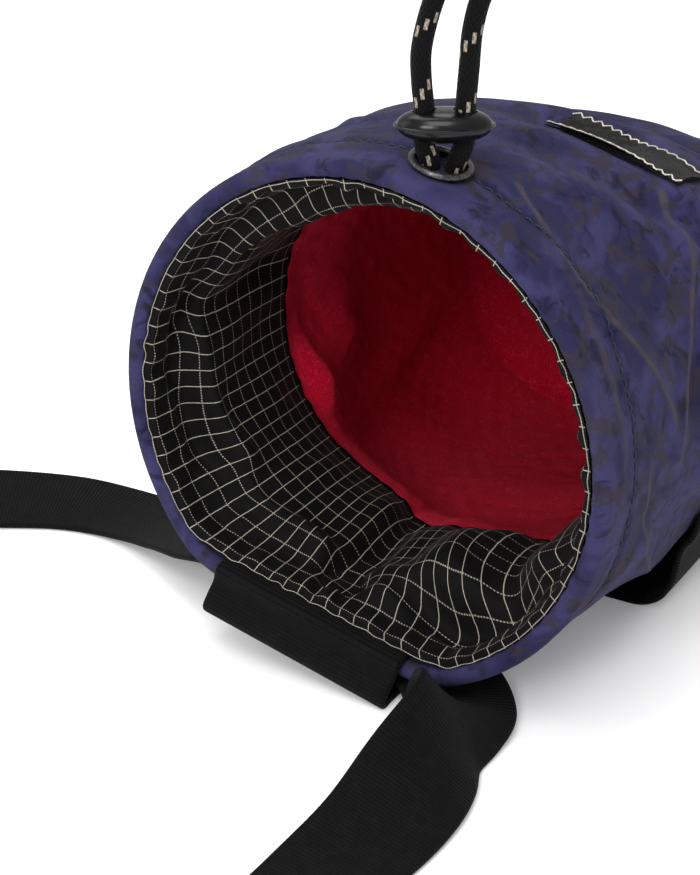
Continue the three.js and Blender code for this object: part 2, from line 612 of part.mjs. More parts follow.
function makeBasePanel() {
  const edge = innerShell[innerShell.length - 1];
  const middle = new THREE.Vector3();
  edge.forEach((p) => middle.addScaledVector(p, 1 / SHELL_SIDES));
  const inset = 1 - FIT_GAP / (0.7 * MOUTH_RADIUS);
  const ring = (share, back) => edge.map((p) => {
    const q = middle.clone().lerp(p, share * inset);
    q.y += back + 3 * (1 - share * share);
    return q;
  });
  const shares = [0.6, 1];
  const inside = shares.map((share) => ring(share, -BASE_WALL - 0.6));
  const outside = [...shares].reverse().map((share) => ring(share, -0.6));
  return ringSolid([...inside, ...outside], false);
}

// Closed solid between two sheets of points of the same rows and columns.
function sheetSolid(top, bottom) {
  const rows = top.length;
  const columns = top[0].length;
  const positions = [...top.flat(), ...bottom.flat()].flatMap((p) => [p.x, p.y, p.z]);
  const under = rows * columns;
  const index = [];
  const quad = (a, b, c, d) => index.push(a, b, c, a, c, d);
  for (let j = 0; j < rows - 1; j += 1) {
    for (let i = 0; i < columns - 1; i += 1) {
      const a = j * columns + i;
      quad(a, a + 1, a + columns + 1, a + columns);
      quad(under + a, under + a + columns, under + a + columns + 1, under + a + 1);
    }
  }
  for (let i = 0; i < columns - 1; i += 1) {
    const last = (rows - 1) * columns + i;
    quad(i, under + i, under + i + 1, i + 1);
    quad(last, last + 1, under + last + 1, under + last);
  }
  for (let j = 0; j < rows - 1; j += 1) {
    const a = j * columns;
    const b = a + columns - 1;
    quad(a, a + columns, under + a + columns, under + a);
    quad(b, under + b, under + b + columns, b + columns);
  }
  const geometry = new THREE.BufferGeometry();
  geometry.setAttribute('position', new THREE.Float32BufferAttribute(positions, 3));
  geometry.setIndex(index);
  return facingOut(geometry);
}

// Webbing strip made width wide across its middle line. line gives the [u, v] pairs at a place across the
// strip, place turns (across, u, v) into a point, and both faces are kept on or above the floor.
function webbingStrip(line, width, wall, steps, columns, place) {
  const stations = Array.from({ length: columns }, (_, i) => (i / (columns - 1) - 0.5) * width);
  const curves = stations.map((across) => new THREE.CatmullRomCurve3(
    line(across).map(([u, v]) => new THREE.Vector3(u, v, 0)), false, 'centripetal'));
  const top = [];
  const bottom = [];
  for (let j = 0; j <= steps; j += 1) {
    const rowTop = [];
    const rowBottom = [];
    for (let i = 0; i < columns; i += 1) {
      const across = stations[i];
      const p = curves[i].getPoint(j / steps);
      const t = curves[i].getTangent(j / steps);
      const side = new THREE.Vector3(-t.y, t.x, 0).multiplyScalar(wall / 2);
      const a = place(across, p.x + side.x, p.y + side.y);
      const b = place(across, p.x - side.x, p.y - side.y);
      const low = a.z < b.z ? a : b;
      const lift = Math.max(0, -low.z);
      a.z += lift;
      b.z += lift;
      rowTop.push(a);
      rowBottom.push(b);
    }
    top.push(rowTop);
    bottom.push(rowBottom);
  }
  return sheetSolid(top, bottom);
}

// The belt loop is tucked in behind the hem, turns over its front, dips to the floor and is sewn to the
// shell again under the bag. u runs back, v runs out from the axis.
function makeBeltLoop() {
  const hem = SEAT_REACH * MOUTH_RADIUS;
  const inside = hem - HEM_WIDTH - FIT_GAP - LOOP_WALL / 2 - 0.3;
  const floor = hem + 7.0;
  const seam = hem + FIT_GAP + LOOP_WALL / 2;
  const line = [
    [5.0, inside], [2.0, inside], [-0.9 - LOOP_WALL / 2, inside + 1.0], [-1.2 - LOOP_WALL / 2, hem - 1.5],
    [-3.6, hem + 1.5], [-4.6, floor - 2.4], [-1.5, floor - 0.2], [4, floor],
    [0.45 * LOOP_LENGTH, floor], [0.78 * LOOP_LENGTH, floor - 0.8], [0.9 * LOOP_LENGTH, seam + 2.2],
    [LOOP_LENGTH, seam + 0.8],
  ];
  const frame = loopFrame();
  return webbingStrip(() => line, LOOP_WIDTH, LOOP_WALL, 28, 4,
    (across, u, v) => new THREE.Vector3(across, u, -v).applyMatrix4(frame));
}

const BRUSH_LOOP_BACK = 0.41 * BAG_DEPTH;

// The brush loop is sewn to the lower right side, hangs to the floor and turns in under the shell: u runs
// to the right, v up from the floor.
function makeBrushLoop() {
  const lift = FIT_GAP + BRUSH_LOOP_WALL / 2 + 0.5;
  const depth = (across) => BRUSH_LOOP_BACK + BRUSH_LOOP_WIDTH / 2 + across;
  const line = (across) => {
    const sewn = [118, 123, 128].map((angle, i) => {
      const p = shellAtDepth(angle, depth(across));
      const out = new THREE.Vector3(p.x, 0, p.z - AXIS_HEIGHT).normalize();
      return [p.x + out.x * (lift + 0.6 * i), p.z + out.z * (lift + 0.6 * i)];
    });
    return [...sewn, [49.4, 8.5], [46.6, 3.6], [42.4, 1.2], [37, 0.8], [31, 0.8]];
  };
  return webbingStrip(line, BRUSH_LOOP_WIDTH, BRUSH_LOOP_WALL, 14, 5,
    (across, u, v) => new THREE.Vector3(u, depth(across), v));
}

const BUCKLE_PLACE = new THREE.Vector3(-1.8 * MOUTH_RADIUS, -4.5333 * MOUTH_RADIUS, BUCKLE_THICK / 2);
const BUCKLE_TURN = -7;
const BELT_STEPS = 76;

function buckleEnd(side, beyond) {
  const reach = side * (BUCKLE_LENGTH / 2 + beyond);
  const turn = BUCKLE_TURN * RAD;
  return new THREE.Vector3(reach * Math.cos(turn), reach * Math.sin(turn), 0).add(BUCKLE_PLACE);
}

// The belt is a ruled strip along its middle line; both ends sit in the buckle.
function makeBelt() {
  const points = [
    buckleEnd(-1, -BUCKLE_GRIP), buckleEnd(-1, 0), buckleEnd(-1, 6),
    ...BELT_ROUTE.map((row) => new THREE.Vector3(
      row.x * MOUTH_RADIUS, row.y * MOUTH_RADIUS, row.z * MOUTH_RADIUS + row.hang * AXIS_HEIGHT)),
    buckleEnd(1, 6), buckleEnd(1, 0), buckleEnd(1, -BUCKLE_GRIP),
  ];
  const tips = [0, 0, 0, ...BELT_ROUTE.map((row) => row.tip), 0, 0, 0].map((tip) => new THREE.Vector3(tip, 0, 0));
  const line = new THREE.CatmullRomCurve3(points, false, 'centripetal');
  const tipLine = new THREE.CatmullRomCurve3(tips, false, 'catmullrom', 0.5);
  const top = [];
  const bottom = [];
  for (let j = 0; j <= BELT_STEPS; j += 1) {
    const p = line.getPoint(j / BELT_STEPS);
    const t = line.getTangent(j / BELT_STEPS);
    const tip = tipLine.getPoint(j / BELT_STEPS).x * RAD;
    const flat = new THREE.Vector3(t.y, -t.x, 0).normalize();
    const width = flat.multiplyScalar(Math.cos(tip)).add(new THREE.Vector3(0, 0, Math.sin(tip)));
    const up = t.clone().cross(width).normalize();
    const square = up.clone().cross(t).normalize();
    const corner = (side, face) => {
      const q = p.clone().addScaledVector(square, side * BELT_WIDTH / 2).addScaledVector(up, face * BELT_WALL / 2);
      return q;
    };
    const rowTop = [corner(-1, 1), corner(1, 1)];
    const rowBottom = [corner(-1, -1), corner(1, -1)];
    const low = Math.min(...[...rowTop, ...rowBottom].map((q) => q.z));
    [...rowTop, ...rowBottom].forEach((q) => { q.z += Math.max(0, -low); });
    top.push(rowTop);
    bottom.push(rowBottom);
  }
  return sheetSolid(top, bottom);
}

// Plain buckle: a rounded bar with a pocket at each end for the belt.
function makeBuckle() {
  const round = 3;
  const outline = new THREE.Shape();
  const [hx, hy] = [BUCKLE_LENGTH / 2, BUCKLE_WIDTH / 2];
  outline.moveTo(-hx + round, -hy);
  outline.lineTo(hx - round, -hy);
  outline.absarc(hx - round, -hy + round, round, -Math.PI / 2, 0, false);
  outline.lineTo(hx, hy - round);
  outline.absarc(hx - round, hy - round, round, 0, Math.PI / 2, false);
  outline.lineTo(-hx + round, hy);
  outline.absarc(-hx + round, hy - round, round, Math.PI / 2, Math.PI, false);
  outline.lineTo(-hx, -hy + round);
  outline.absarc(-hx + round, -hy + round, round, Math.PI, Math.PI * 1.5, false);
  const body = new THREE.ExtrudeGeometry(outline, { depth: BUCKLE_THICK, bevelEnabled: false, curveSegments: 4 });
  body.translate(0, 0, -BUCKLE_THICK / 2);
  let solid = toManifold(body);
  for (const side of [-1, 1]) {
    const deep = BUCKLE_GRIP + FIT_GAP;
    const pocket = new THREE.BoxGeometry(2 * deep, BELT_WIDTH + 2 * FIT_GAP, BELT_WALL + 2 * FIT_GAP);
    pocket.translate(side * hx, 0, 0);
    solid = solid.subtract(toManifold(pocket));
  }
  return fromManifold(solid);
}

function makeEyelet() {
  const inner = EYELET_HOLE / 2;
  const barrel = inner + EYELET_WALL;
  const seat = FIT_GAP + 0.3;
  const profile = [
    [inner, -SHELL_WALL - 0.5], [barrel, -SHELL_WALL - 0.5], [barrel, seat], [EYELET_OUTER / 2, seat],
    [EYELET_OUTER / 2 - 0.35, seat + EYELET_LIP], [inner + 0.35, seat + EYELET_LIP],
    [inner, seat + 0.5 * EYELET_LIP], [inner, -SHELL_WALL - 0.5],
  ].map(([r, h]) => new THREE.Vector2(r, h));
  const ring = new THREE.LatheGeometry(profile, 22);
  ring.rotateX(Math.PI / 2);
  return fromManifold(toManifold(ring));
}

// Point beside the eyelet: across along the lock, away square to it, up above the eyelet.
function cordPoint(across, away, up) {
  const turn = LOCK_TURN * RAD;
  const eyelet = new THREE.Vector3().setFromMatrixPosition(eyeletFrame());
  return new THREE.Vector3(
    eyelet.x + across * Math.cos(turn) - away * Math.sin(turn),
    eyelet.y + across * Math.sin(turn) + away * Math.cos(turn),
    eyelet.z + up,
  );
}

function makeDrawCord() {
  const path = new THREE.CatmullRomCurve3(
    CORD_ROUTE.map((row) => cordPoint(row.across, row.away, row.up)), false, 'centripetal');
  const section = new THREE.Shape();
  const sides = 8;
  for (let i = 0; i < sides; i += 1) {
    const a = i * 2 * Math.PI / sides;
    const [x, y] = [Math.cos(a) * CORD_DIAMETER / 2, Math.sin(a) * CORD_DIAMETER / 2];
    if (i) {
      section.lineTo(x, y);
    } else {
      section.moveTo(x, y);
    }
  }
  return new THREE.ExtrudeGeometry(section, { steps: 38, extrudePath: path, bevelEnabled: false });
}

// Oval cord lock with a parting flange and a bore for each run of the cord.
function makeCordLock() {
  const half = LOCK_LENGTH / 2;
  const high = LOCK_HEIGHT / 2;
  const body = half - 0.6;
  const arcSteps = 4;
  const dome = [];
  for (let i = 0; i < arcSteps; i += 1) {
    const a = (1 - i / arcSteps) * Math.PI / 2;
    dome.push([i ? body * Math.cos(a) ** 0.7 : 0, high * Math.sin(a)]);
  }
  dome.push([body, 0.35], [half, 0.2]);
  const profile = [...dome, ...[...dome].reverse().map(([r, h]) => [r, -h])].reverse();
  const shape = new THREE.LatheGeometry(profile.map(([r, h]) => new THREE.Vector2(r, h)), 24);
  shape.rotateX(Math.PI / 2);
  shape.scale(1, LOCK_DEPTH / LOCK_LENGTH, 1);
  let solid = toManifold(shape);
  const boreRadius = CORD_DIAMETER / 2 + FIT_GAP;
  for (const side of [-1, 1]) {
    const bore = new THREE.CylinderGeometry(boreRadius, boreRadius, 3 * LOCK_HEIGHT, 12);
    bore.rotateX(Math.PI / 2);
    bore.translate(side * LOCK_BORE_SPREAD, 0, 0);
    solid = solid.subtract(toManifold(bore));
  }
  return fromManifold(solid);
}

function makeLabel() {
  const rows = 5;
  const columns = 7;
  const layer = (lift) => {
    const grid = [];
    for (let j = 0; j < rows; j += 1) {
      const line = [];
      for (let i = 0; i < columns; i += 1) {
        const around = (i / (columns - 1) - 0.5) * LABEL_LENGTH;
        const back = (j / (rows - 1) - 0.5) * LABEL_WIDTH;
        const angle = LABEL_ANGLE + around / MOUTH_RADIUS / RAD;
        const at = (LABEL_BACK + back) / BAG_DEPTH;
        const p = shellPoint(angle, at);
        const out = new THREE.Vector3().setFromMatrixColumn(surfaceFrame(angle, at, true), 2);
        line.push(p.addScaledVector(out, lift));
      }
      grid.push(line);
    }
    return grid;
  };
  return sheetSolid(layer(FIT_GAP + LABEL_WALL + 0.7), layer(FIT_GAP + 0.7));
}

const shellFinish = new THREE.MeshStandardMaterial({ color: 0x33335c, roughness: 0.85, metalness: 0 });
const ripstopFinish = new THREE.MeshStandardMaterial({ color: 0x1b1a1c, roughness: 0.6, metalness: 0 });
const fleeceFinish = new THREE.MeshStandardMaterial({ color: 0xb0122e, roughness: 1, metalness: 0 });
const webbingFinish = new THREE.MeshStandardMaterial({ color: 0x121214, roughness: 0.75, metalness: 0 });
const cordFinish = new THREE.MeshStandardMaterial({ color: 0x17171a, roughness: 0.7, metalness: 0 });
const plasticFinish = new THREE.MeshStandardMaterial({ color: 0x0e0e0f, roughness: 0.35, metalness: 0 });
const eyeletFinish = new THREE.MeshStandardMaterial({ color: 0x2a2a2c, roughness: 0.3, metalness: 0.9 });
const labelFinish = new THREE.MeshStandardMaterial({ color: 0x1a1a1a, roughness: 0.9, metalness: 0 });

function piece(name, geometry, material) {
  const mesh = new THREE.Mesh(geometry, material);
  mesh.name = name;
  return mesh;
}

function makeBag() {
  const bag = new THREE.Group();
  bag.position.set(0, -REST_BACK, 0);
  bag.add(piece('shell', makeShell(), shellFinish));
  bag.add(piece('base_panel', makeBasePanel(), shellFinish));
  bag.add(piece('collar', makeCollar(), ripstopFinish));
  bag.add(piece('liner', makeLiner(), fleeceFinish));
  bag.add(piece('belt_loop', makeBeltLoop(), webbingFinish));
  bag.add(piece('brush_loop', makeBrushLoop(), webbingFinish));
  bag.add(piece('belt', makeBelt(), webbingFinish));
  const buckle = piece('buckle', makeBuckle(), plasticFinish);
  buckle.position.copy(BUCKLE_PLACE);
  buckle.rotation.z = BUCKLE_TURN * RAD;
  bag.add(buckle);
  const eyelet = piece('eyelet', makeEyelet(), eyeletFinish);
  eyelet.applyMatrix4(eyeletFrame());
  bag.add(eyelet);
  bag.add(piece('draw_cord', makeDrawCord(), cordFinish));
  const lock = piece('cord_lock', makeCordLock(), plasticFinish);
  lock.position.copy(cordPoint(LOCK_SHIFT, 0, LOCK_RISE));
  lock.rotation.z = LOCK_TURN * RAD;
  bag.add(lock);
  bag.add(piece('label', makeLabel(), labelFinish));
  return bag;
}

const model = new THREE.Group();
model.add(makeBag());

export default model;
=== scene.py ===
"""Climbing chalk bag lying on its back: the cloth, fleece, webbing, cord and trim over its solid parts."""

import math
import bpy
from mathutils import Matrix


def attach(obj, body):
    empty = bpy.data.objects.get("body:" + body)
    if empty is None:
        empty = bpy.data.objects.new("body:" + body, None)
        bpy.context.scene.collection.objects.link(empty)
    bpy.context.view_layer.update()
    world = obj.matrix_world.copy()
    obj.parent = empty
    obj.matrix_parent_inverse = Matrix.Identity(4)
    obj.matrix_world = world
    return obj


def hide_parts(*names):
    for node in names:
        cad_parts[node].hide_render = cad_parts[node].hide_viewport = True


bl_info = {
    "name": "Climbing Chalk Bag",
    "version": (1, 0, 0),
    "blender": (4, 5, 0),
    "location": "3D View > Sidebar > Chalk Bag",
    "description": "Builds the cloth, webbing, cord and trim of a climbing chalk bag over its solid parts",
    "category": "Add Mesh",
}

import bmesh
import bpy
import numpy as np
from bpy.props import FloatProperty, FloatVectorProperty, PointerProperty
from bpy.types import Operator, Panel, PropertyGroup
from mathutils import Vector

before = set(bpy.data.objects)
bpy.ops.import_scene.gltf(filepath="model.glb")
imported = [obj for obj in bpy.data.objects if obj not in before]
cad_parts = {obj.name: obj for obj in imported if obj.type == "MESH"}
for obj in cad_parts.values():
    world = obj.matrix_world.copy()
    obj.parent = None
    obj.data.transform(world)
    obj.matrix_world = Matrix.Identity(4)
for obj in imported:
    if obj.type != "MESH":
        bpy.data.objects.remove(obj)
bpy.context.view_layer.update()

RAD = math.pi / 180
MM = 0.001

# Sizes of the solids, in millimetres from the middle of the mouth on the floor
MOUTH_RADIUS = 60.0
BAG_DEPTH = 165.0
AXIS_HEIGHT = 62.0
REST_BACK = 0.6 * BAG_DEPTH
SHELL_WALL = 1.6
HEM_WIDTH = 4.4
CHANNEL_DEPTH = 12.0
COLLAR_WALL = 1.2
COLLAR_DEPTH = 50.0
FLEECE_WALL = 2.2
FIT_GAP = 0.4
LOOP_WIDTH = 50.0
LOOP_WALL = 1.6
LOOP_TURN = 13.0
LOOP_LENGTH = 46.0
BELT_WIDTH = 25.0
BELT_WALL = 1.5
BRUSH_LOOP_WIDTH = 50.0
BRUSH_LOOP_WALL = 1.5
BRUSH_LOOP_BACK = 0.41 * BAG_DEPTH
BUCKLE_LENGTH = 46.0
BUCKLE_THICK = 8.0
BUCKLE_GRIP = 7.0
BUCKLE_TURN = -7.0
BUCKLE_PLACE = np.array([-1.8 * MOUTH_RADIUS, -4.5333 * MOUTH_RADIUS, BUCKLE_THICK / 2])
CORD_DIAMETER = 4.2
LOCK_LENGTH = 20.5
LOCK_DEPTH = 12.0
LOCK_HEIGHT = 6.6
LOCK_BORE_SPREAD = 4.1
LOCK_TURN = 31.0
LOCK_SHIFT = 0.7
LOCK_RISE = 8.6
EYELET_HOLE = 10.8
EYELET_OUTER = 13.8
EYELET_ANGLE = 14.5
EYELET_BACK = 0.85 * CHANNEL_DEPTH
LABEL_LENGTH = 35.0
LABEL_WIDTH = 17.0
LABEL_ANGLE = 26.0
LABEL_BACK = 0.44 * BAG_DEPTH
SEAT_REACH = 0.86
CREASE_STATION = 0.22
LINER_FLOOR = BAG_DEPTH - 16
HEM_ROUND = HEM_WIDTH / 2
SEAM_BACK = 13.0
STITCH_PITCH = 2.6
GRID_PITCH = 4.5
GRID_LINES = 75
SHELL_COLUMNS = 460
SLEEVE_COLUMNS = 600
POUCH_COLUMNS = 360
LOOP_ANGLE = 180 + LOOP_TURN
LOOP_HALF_ANGLE = math.degrees(math.asin(LOOP_WIDTH / 2 / (SEAT_REACH * MOUTH_RADIUS)))

# Depth share, half width, crown, under side, upper power, lower power, lean
SHELL_SECTIONS = np.array([
    (0.0, 1.0, 1.03, 1.0, 2.0, 2.0, 0.0),
    (0.1, 1.01, 1.045, 1.0, 2.0, 2.0, 0.0),
    (0.2, 1.01, 1.02, 1.02, 2.1, 2.1, 0.0),
    (0.32, 1.01, 0.99, 1.04, 2.25, 2.3, 0.0),
    (0.45, 1.02, 0.95, 1.055, 2.35, 2.55, 0.01),
    (0.6, 1.03, 0.86, 1.06, 2.35, 2.6, 0.04),
    (0.75, 1.03, 0.74, 1.06, 2.3, 2.6, 0.09),
    (0.88, 1.0, 0.62, 1.055, 2.2, 2.5, 0.14),
    (1.0, 0.94, 0.5, 1.04, 2.1, 2.4, 0.17),
])

# Clock angle and depth share at both ends, half width, height
SHELL_FOLDS = [
    (27, 0.17, 62, 0.34, 0.11, 0.04), (18, 0.27, 46, 0.34, 0.12, -0.03), (8, 0.43, 24, 0.45, 0.17, -0.075),
    (47, 0.4, 60, 0.52, 0.13, 0.065), (68, 0.37, 98, 0.32, 0.1, 0.045), (74, 0.47, 92, 0.42, 0.1, -0.085),
    (102, 0.16, 122, 0.5, 0.1, -0.022), (114, 0.12, 134, 0.4, 0.1, 0.022), (138, 0.42, 138, 0.7, 0.16, -0.09),
    (-25, 0.62, 25, 0.66, 0.2, -0.07), (-72, 0.36, -50, 0.7, 0.13, -0.06), (-92, 0.3, -66, 0.78, 0.09, 0.045),
    (-118, 0.4, -98, 0.86, 0.1, -0.045), (30, 0.72, 70, 0.94, 0.09, 0.05), (-12, 0.8, 34, 0.92, 0.08, -0.06),
]

# Sharp folds of the shell's cloth: points of clock angle and depth in millimetres, half width, height
CLOTH_FOLDS = [
    (((27, 19), (38, 13.5), (48, 11), (58, 14), (71, 24), (84, 31)), 2.6, 1.1),
    (((42, 60), (48, 56), (54, 54.5), (61, 58), (68, 66)), 3.0, 1.3),
    (((52, 53), (62, 49), (69, 45), (80, 38), (92, 34)), 2.4, 1.3),
    (((57, 60), (66, 55), (75, 49), (86, 44)), 3.2, -1.5),
    (((33, 24), (44, 22), (55, 26), (64, 34)), 3.6, -0.8),
    (((92, 19), (104, 24), (116, 34), (126, 48)), 2.2, 0.7),
    (((-20, 40), (-34, 52), (-52, 58), (-70, 74)), 2.8, 0.9),
    (((-60, 24), (-78, 40), (-92, 66), (-98, 96)), 2.6, 0.8),
    (((-12, 96), (8, 104), (30, 100), (52, 112)), 3.4, 1.0),
]

# Clock angle, then radius and depth of the puffed crest, of the stretch behind it and of the end seam
COLLAR_PROFILES = np.array([
    (0, 0.79, 0.36, 0.84, 0.7, 0.86, 1.0), (30, 0.82, 0.36, 0.85, 0.7, 0.86, 0.98),
    (60, 0.84, 0.36, 0.86, 0.68, 0.86, 0.96), (90, 0.83, 0.38, 0.84, 0.68, 0.85, 0.94),
    (120, 0.79, 0.4, 0.79, 0.66, 0.83, 0.92), (150, 0.68, 0.44, 0.66, 0.7, 0.76, 0.94),
    (180, 0.66, 0.46, 0.62, 0.74, 0.7, 0.96), (210, 0.67, 0.42, 0.63, 0.72, 0.68, 0.96),
    (240, 0.73, 0.4, 0.7, 0.7, 0.73, 0.94), (270, 0.78, 0.38, 0.77, 0.68, 0.78, 0.94),
    (300, 0.8, 0.38, 0.83, 0.72, 0.84, 1.0), (330, 0.77, 0.36, 0.84, 0.74, 0.87, 1.06),
])
COLLAR_FOLDS = [
    (238, 0.28, 206, 0.36, 0.14, 0.08), (176, 0.24, 156, 0.66, 0.18, 0.09), (192, 0.1, 190, 0.95, 0.1, -0.1),
    (276, 0.34, 246, 0.5, 0.15, 0.055), (287, 0.2, 291, 0.85, 0.11, -0.045),
    (304, 0.3, 330, 0.36, 0.14, 0.045), (141, 0.1, 139, 0.95, 0.1, -0.06), (124, 0.25, 122, 0.8, 0.11, 0.04),
]
LINER_ROOM = np.array([(0.0, 0.0), (0.12, 0.55), (0.3, 0.85), (0.6, 0.94), (0.85, 0.92), (1.0, 0.8)])
LINER_LOBES = [
    (252, 0.1, 262, 0.26, 0.26, 0.14), (330, 0.3, 20, 0.4, 0.3, 0.06), (150, 0.2, 170, 0.5, 0.2, 0.05),
]

# Middle line of the belt as shares of the mouth radius, how far it hangs with the axis, and its tip
BELT_ROUTE = np.array([
    (-2.75, -4.2667, 0.04, 0, 0), (-3.3833, -3.7667, 0.015, 0, 0), (-3.8667, -2.9333, 0.015, 0, 0),
    (-3.9667, -1.9333, 0.015, 0, 0), (-3.6667, -0.9333, 0.0233, 0, -3), (-3.1, -0.2, 0.0417, 0, -8),
    (-2.5, 0.2333, 0.0533, 0, -11), (-2.1167, 0.4667, 0.05, 0, -10), (-1.8333, 0.6167, 0.0367, 0, -6),
    (-1.6167, 0.6667, 0.0267, 0, -2), (-1.4, 0.65, 0.04, 0, 0), (-1.1667, 0.5667, -0.3027, 0.38, 0),
    (-0.9333, 0.45, -0.56, 0.7, 0), (-0.7, 0.3667, -0.7983, 1, 0), (-0.4667, 0.3167, -0.8367, 1, 0),
    (-0.2333, 0.2833, -0.8933, 1, 0), (0, 0.2667, -0.9467, 1, 0), (0.1667, 0.25, -0.9733, 1, 0),
    (0.3167, 0.1917, -0.575, 0.6, 2), (0.4417, 0.0583, -0.2633, 0.3, 5), (0.5167, -0.1, 0.1367, 0, 38),
    (0.5667, -0.2667, 0.1767, 0, 56), (0.5917, -0.4667, 0.1467, 0, 40), (0.575, -0.7333, 0.0667, 0, 14),
    (0.5333, -1.0667, 0.0233, 0, 2), (0.5167, -1.5, 0.015, 0, 0), (0.6, -2.1667, 0.015, 0, 0),
    (0.6333, -2.8667, 0.015, 0, 0), (0.4333, -3.5667, 0.015, 0, 0), (-0.0667, -4.1667, 0.015, 0, 0),
    (-0.7, -4.5333, 0.04, 0, 0),
])

# Middle line of the draw cord from the eyelet: along the lock, square to it, up
CORD_ROUTE = np.array([
    (-2.3, 0.4, -3.2), (-2.05, 0.05, 0.0), (-2.45, 0.0, 2.4), (-3.2, 0.0, 4.4), (-3.4, 0.0, 6.0),
    (-3.4, 0.0, 11.6), (-4.0, 0.2, 17.0), (-4.2, 0.5, 23.0), (-3.1, 0.9, 29.0), (-1.2, 1.4, 35.0),
    (1.6, 2.0, 41.5), (3.9, 2.8, 48.5), (7.4, 3.6, 55.5), (13.6, 4.2, 59.6), (20.4, 4.4, 57.4),
    (21.8, 3.8, 50.6), (17.4, 2.9, 45.0), (12.0, 2.0, 40.6), (7.9, 1.2, 35.0), (5.9, 0.5, 28.0),
    (5.3, 0.1, 20.0), (4.8, 0.0, 11.6), (4.8, 0.0, 6.0), (4.4, 0.0, 3.9), (3.05, 0.1, 0.3),
    (2.05, 0.4, -3.2),
])


# Shape functions, in millimetres


def mix(a, b, share):
    return a + (b - a) * share


def smooth(share):
    s = np.clip(share, 0, 1)
    return s * s * (3 - 2 * s)


def unit(vectors):
    return vectors / np.maximum(np.linalg.norm(vectors, axis=-1, keepdims=True), 1e-12)


def column(keys, values, at, period=0.0):
    """Reads a column of a table between its rows with a smooth curve."""
    count = len(keys)
    if period:
        at = np.mod(at, period)
        t = np.concatenate([[keys[-1] - period], keys, [keys[0] + period, keys[1] + period]])
        v = np.concatenate([[values[-1]], values, [values[0], values[1]]])
    else:
        t = np.concatenate([[keys[0]], keys, [keys[-1]]])
        v = np.concatenate([[values[0]], values, [values[-1]]])
    last = count - 1 if period else count - 2
    i = np.clip(np.searchsorted(keys, at, side="right") - 1, 0, last)
    t0, t1, t2, t3 = t[i], t[i + 1], t[i + 2], t[i + 3]
    v0, v1, v2, v3 = v[i], v[i + 1], v[i + 2], v[i + 3]
    span = t2 - t1
    s = np.clip((at - t1) / span, 0, 1)
    slope_from = (v2 - v0) / (t2 - t0)
    slope_to = (v3 - v1) / (t3 - t1)
    s2, s3 = s * s, s * s * s
    return ((2 * s3 - 3 * s2 + 1) * v1 + (s3 - 2 * s2 + s) * span * slope_from
            + (3 * s2 - 2 * s3) * v2 + (s3 - s2) * span * slope_to)


def angle_between(a, b):
    return np.mod(a - b + 540.0, 360.0) - 180.0


def fold_height(folds, angle, at, reach):
    """Height of all folds of a table at a place, as a share of the mouth radius."""
    height = np.zeros(np.broadcast(angle, at).shape)
    for start, start_at, end, end_at, half, high in folds:
        across = angle_between(end, start) * RAD
        along = (end_at - start_at) * reach
        px = angle_between(angle, start) * RAD
        py = (at - start_at) * reach
        s = np.clip((px * across + py * along) / (across * across + along * along), 0, 1)
        gap = np.hypot(px - s * across, py - s * along) / half
        height += high * np.exp(-gap * gap)
    return height


def seat_pull(x, z, at):
    """How far the webbing draws a point of the mouth in, as a share."""
    depth = -(z * math.cos(LOOP_TURN * RAD) + x * math.sin(LOOP_TURN * RAD))
    fade = 1 - smooth((at * BAG_DEPTH - LOOP_LENGTH) / (0.45 * LOOP_LENGTH))
    over = np.maximum(0, depth - SEAT_REACH + 0.06) / 0.12
    soft = np.where(over < 1, 0.06 * over * over, depth - SEAT_REACH)
    return np.where(depth <= 0, 1.0, 1 - fade * soft / np.where(depth <= 0, 1.0, depth))


def shell_point(angle, at, folds=True):
    """Outside of the shell at a clock angle and a depth share."""
    angle, at = np.broadcast_arrays(np.asarray(angle, float), np.asarray(at, float))
    keys = SHELL_SECTIONS[:, 0]
    wide, crown, under, upper, lower, lean = (column(keys, SHELL_SECTIONS[:, k], at) for k in range(1, 7))
    sin, cos = np.sin(angle * RAD), np.cos(angle * RAD)
    power = 2 / np.where(cos > 0, upper, lower)
    x = np.sign(sin) * np.abs(sin) ** power * wide
    z = np.sign(cos) * np.abs(cos) ** power * np.where(cos > 0, crown, under)
    if folds:
        size = 1 + fold_height(SHELL_FOLDS, angle, at, BAG_DEPTH / MOUTH_RADIUS)
        x, z = x * size, z * size
    seat = seat_pull(x, z, at) * MOUTH_RADIUS
    x, z = x * seat, z * seat
    return np.stack([x, at * BAG_DEPTH - lean * z, np.maximum(0, AXIS_HEIGHT + z)], -1)


def surface_frame(angle, at, folds=False):
    """Origin, round, back and out directions on the outside of the shell."""
    here = shell_point(angle, at, folds)
    turn = unit(shell_point(angle + 2, at, folds) - shell_point(angle - 2, at, folds))
    back = unit(shell_point(angle, at + 0.01, folds) - shell_point(angle, at - 0.01, folds))
    out = unit(np.cross(turn, back))
    return here, turn, np.cross(out, turn), out


def spoke(angle):
    p = shell_point(angle, 2 / BAG_DEPTH, False)
    return unit(np.stack([p[..., 0], 0 * p[..., 0], p[..., 2] - AXIS_HEIGHT], -1))


def collar_mouth(angle):
    """Radius of the collar where it is sewn into the hem."""
    p = shell_point(angle, 2 / BAG_DEPTH, False)
    turn = shell_point(angle + 1, 2 / BAG_DEPTH, False) - shell_point(angle - 1, 2 / BAG_DEPTH, False)
    x, z = p[..., 0], p[..., 2] - AXIS_HEIGHT
    outer = np.hypot(x, z)
    slant = np.hypot(turn[..., 0], turn[..., 2]) * outer / np.abs(turn[..., 0] * z - turn[..., 2] * x)
    away = np.abs(angle_between(angle, LOOP_ANGLE)) - LOOP_HALF_ANGLE
    webbing = (LOOP_WALL + FIT_GAP + 0.3) * (1 - smooth((away - 3) / 8))
    return outer - (HEM_WIDTH + FIT_GAP + COLLAR_WALL + webbing) * slant


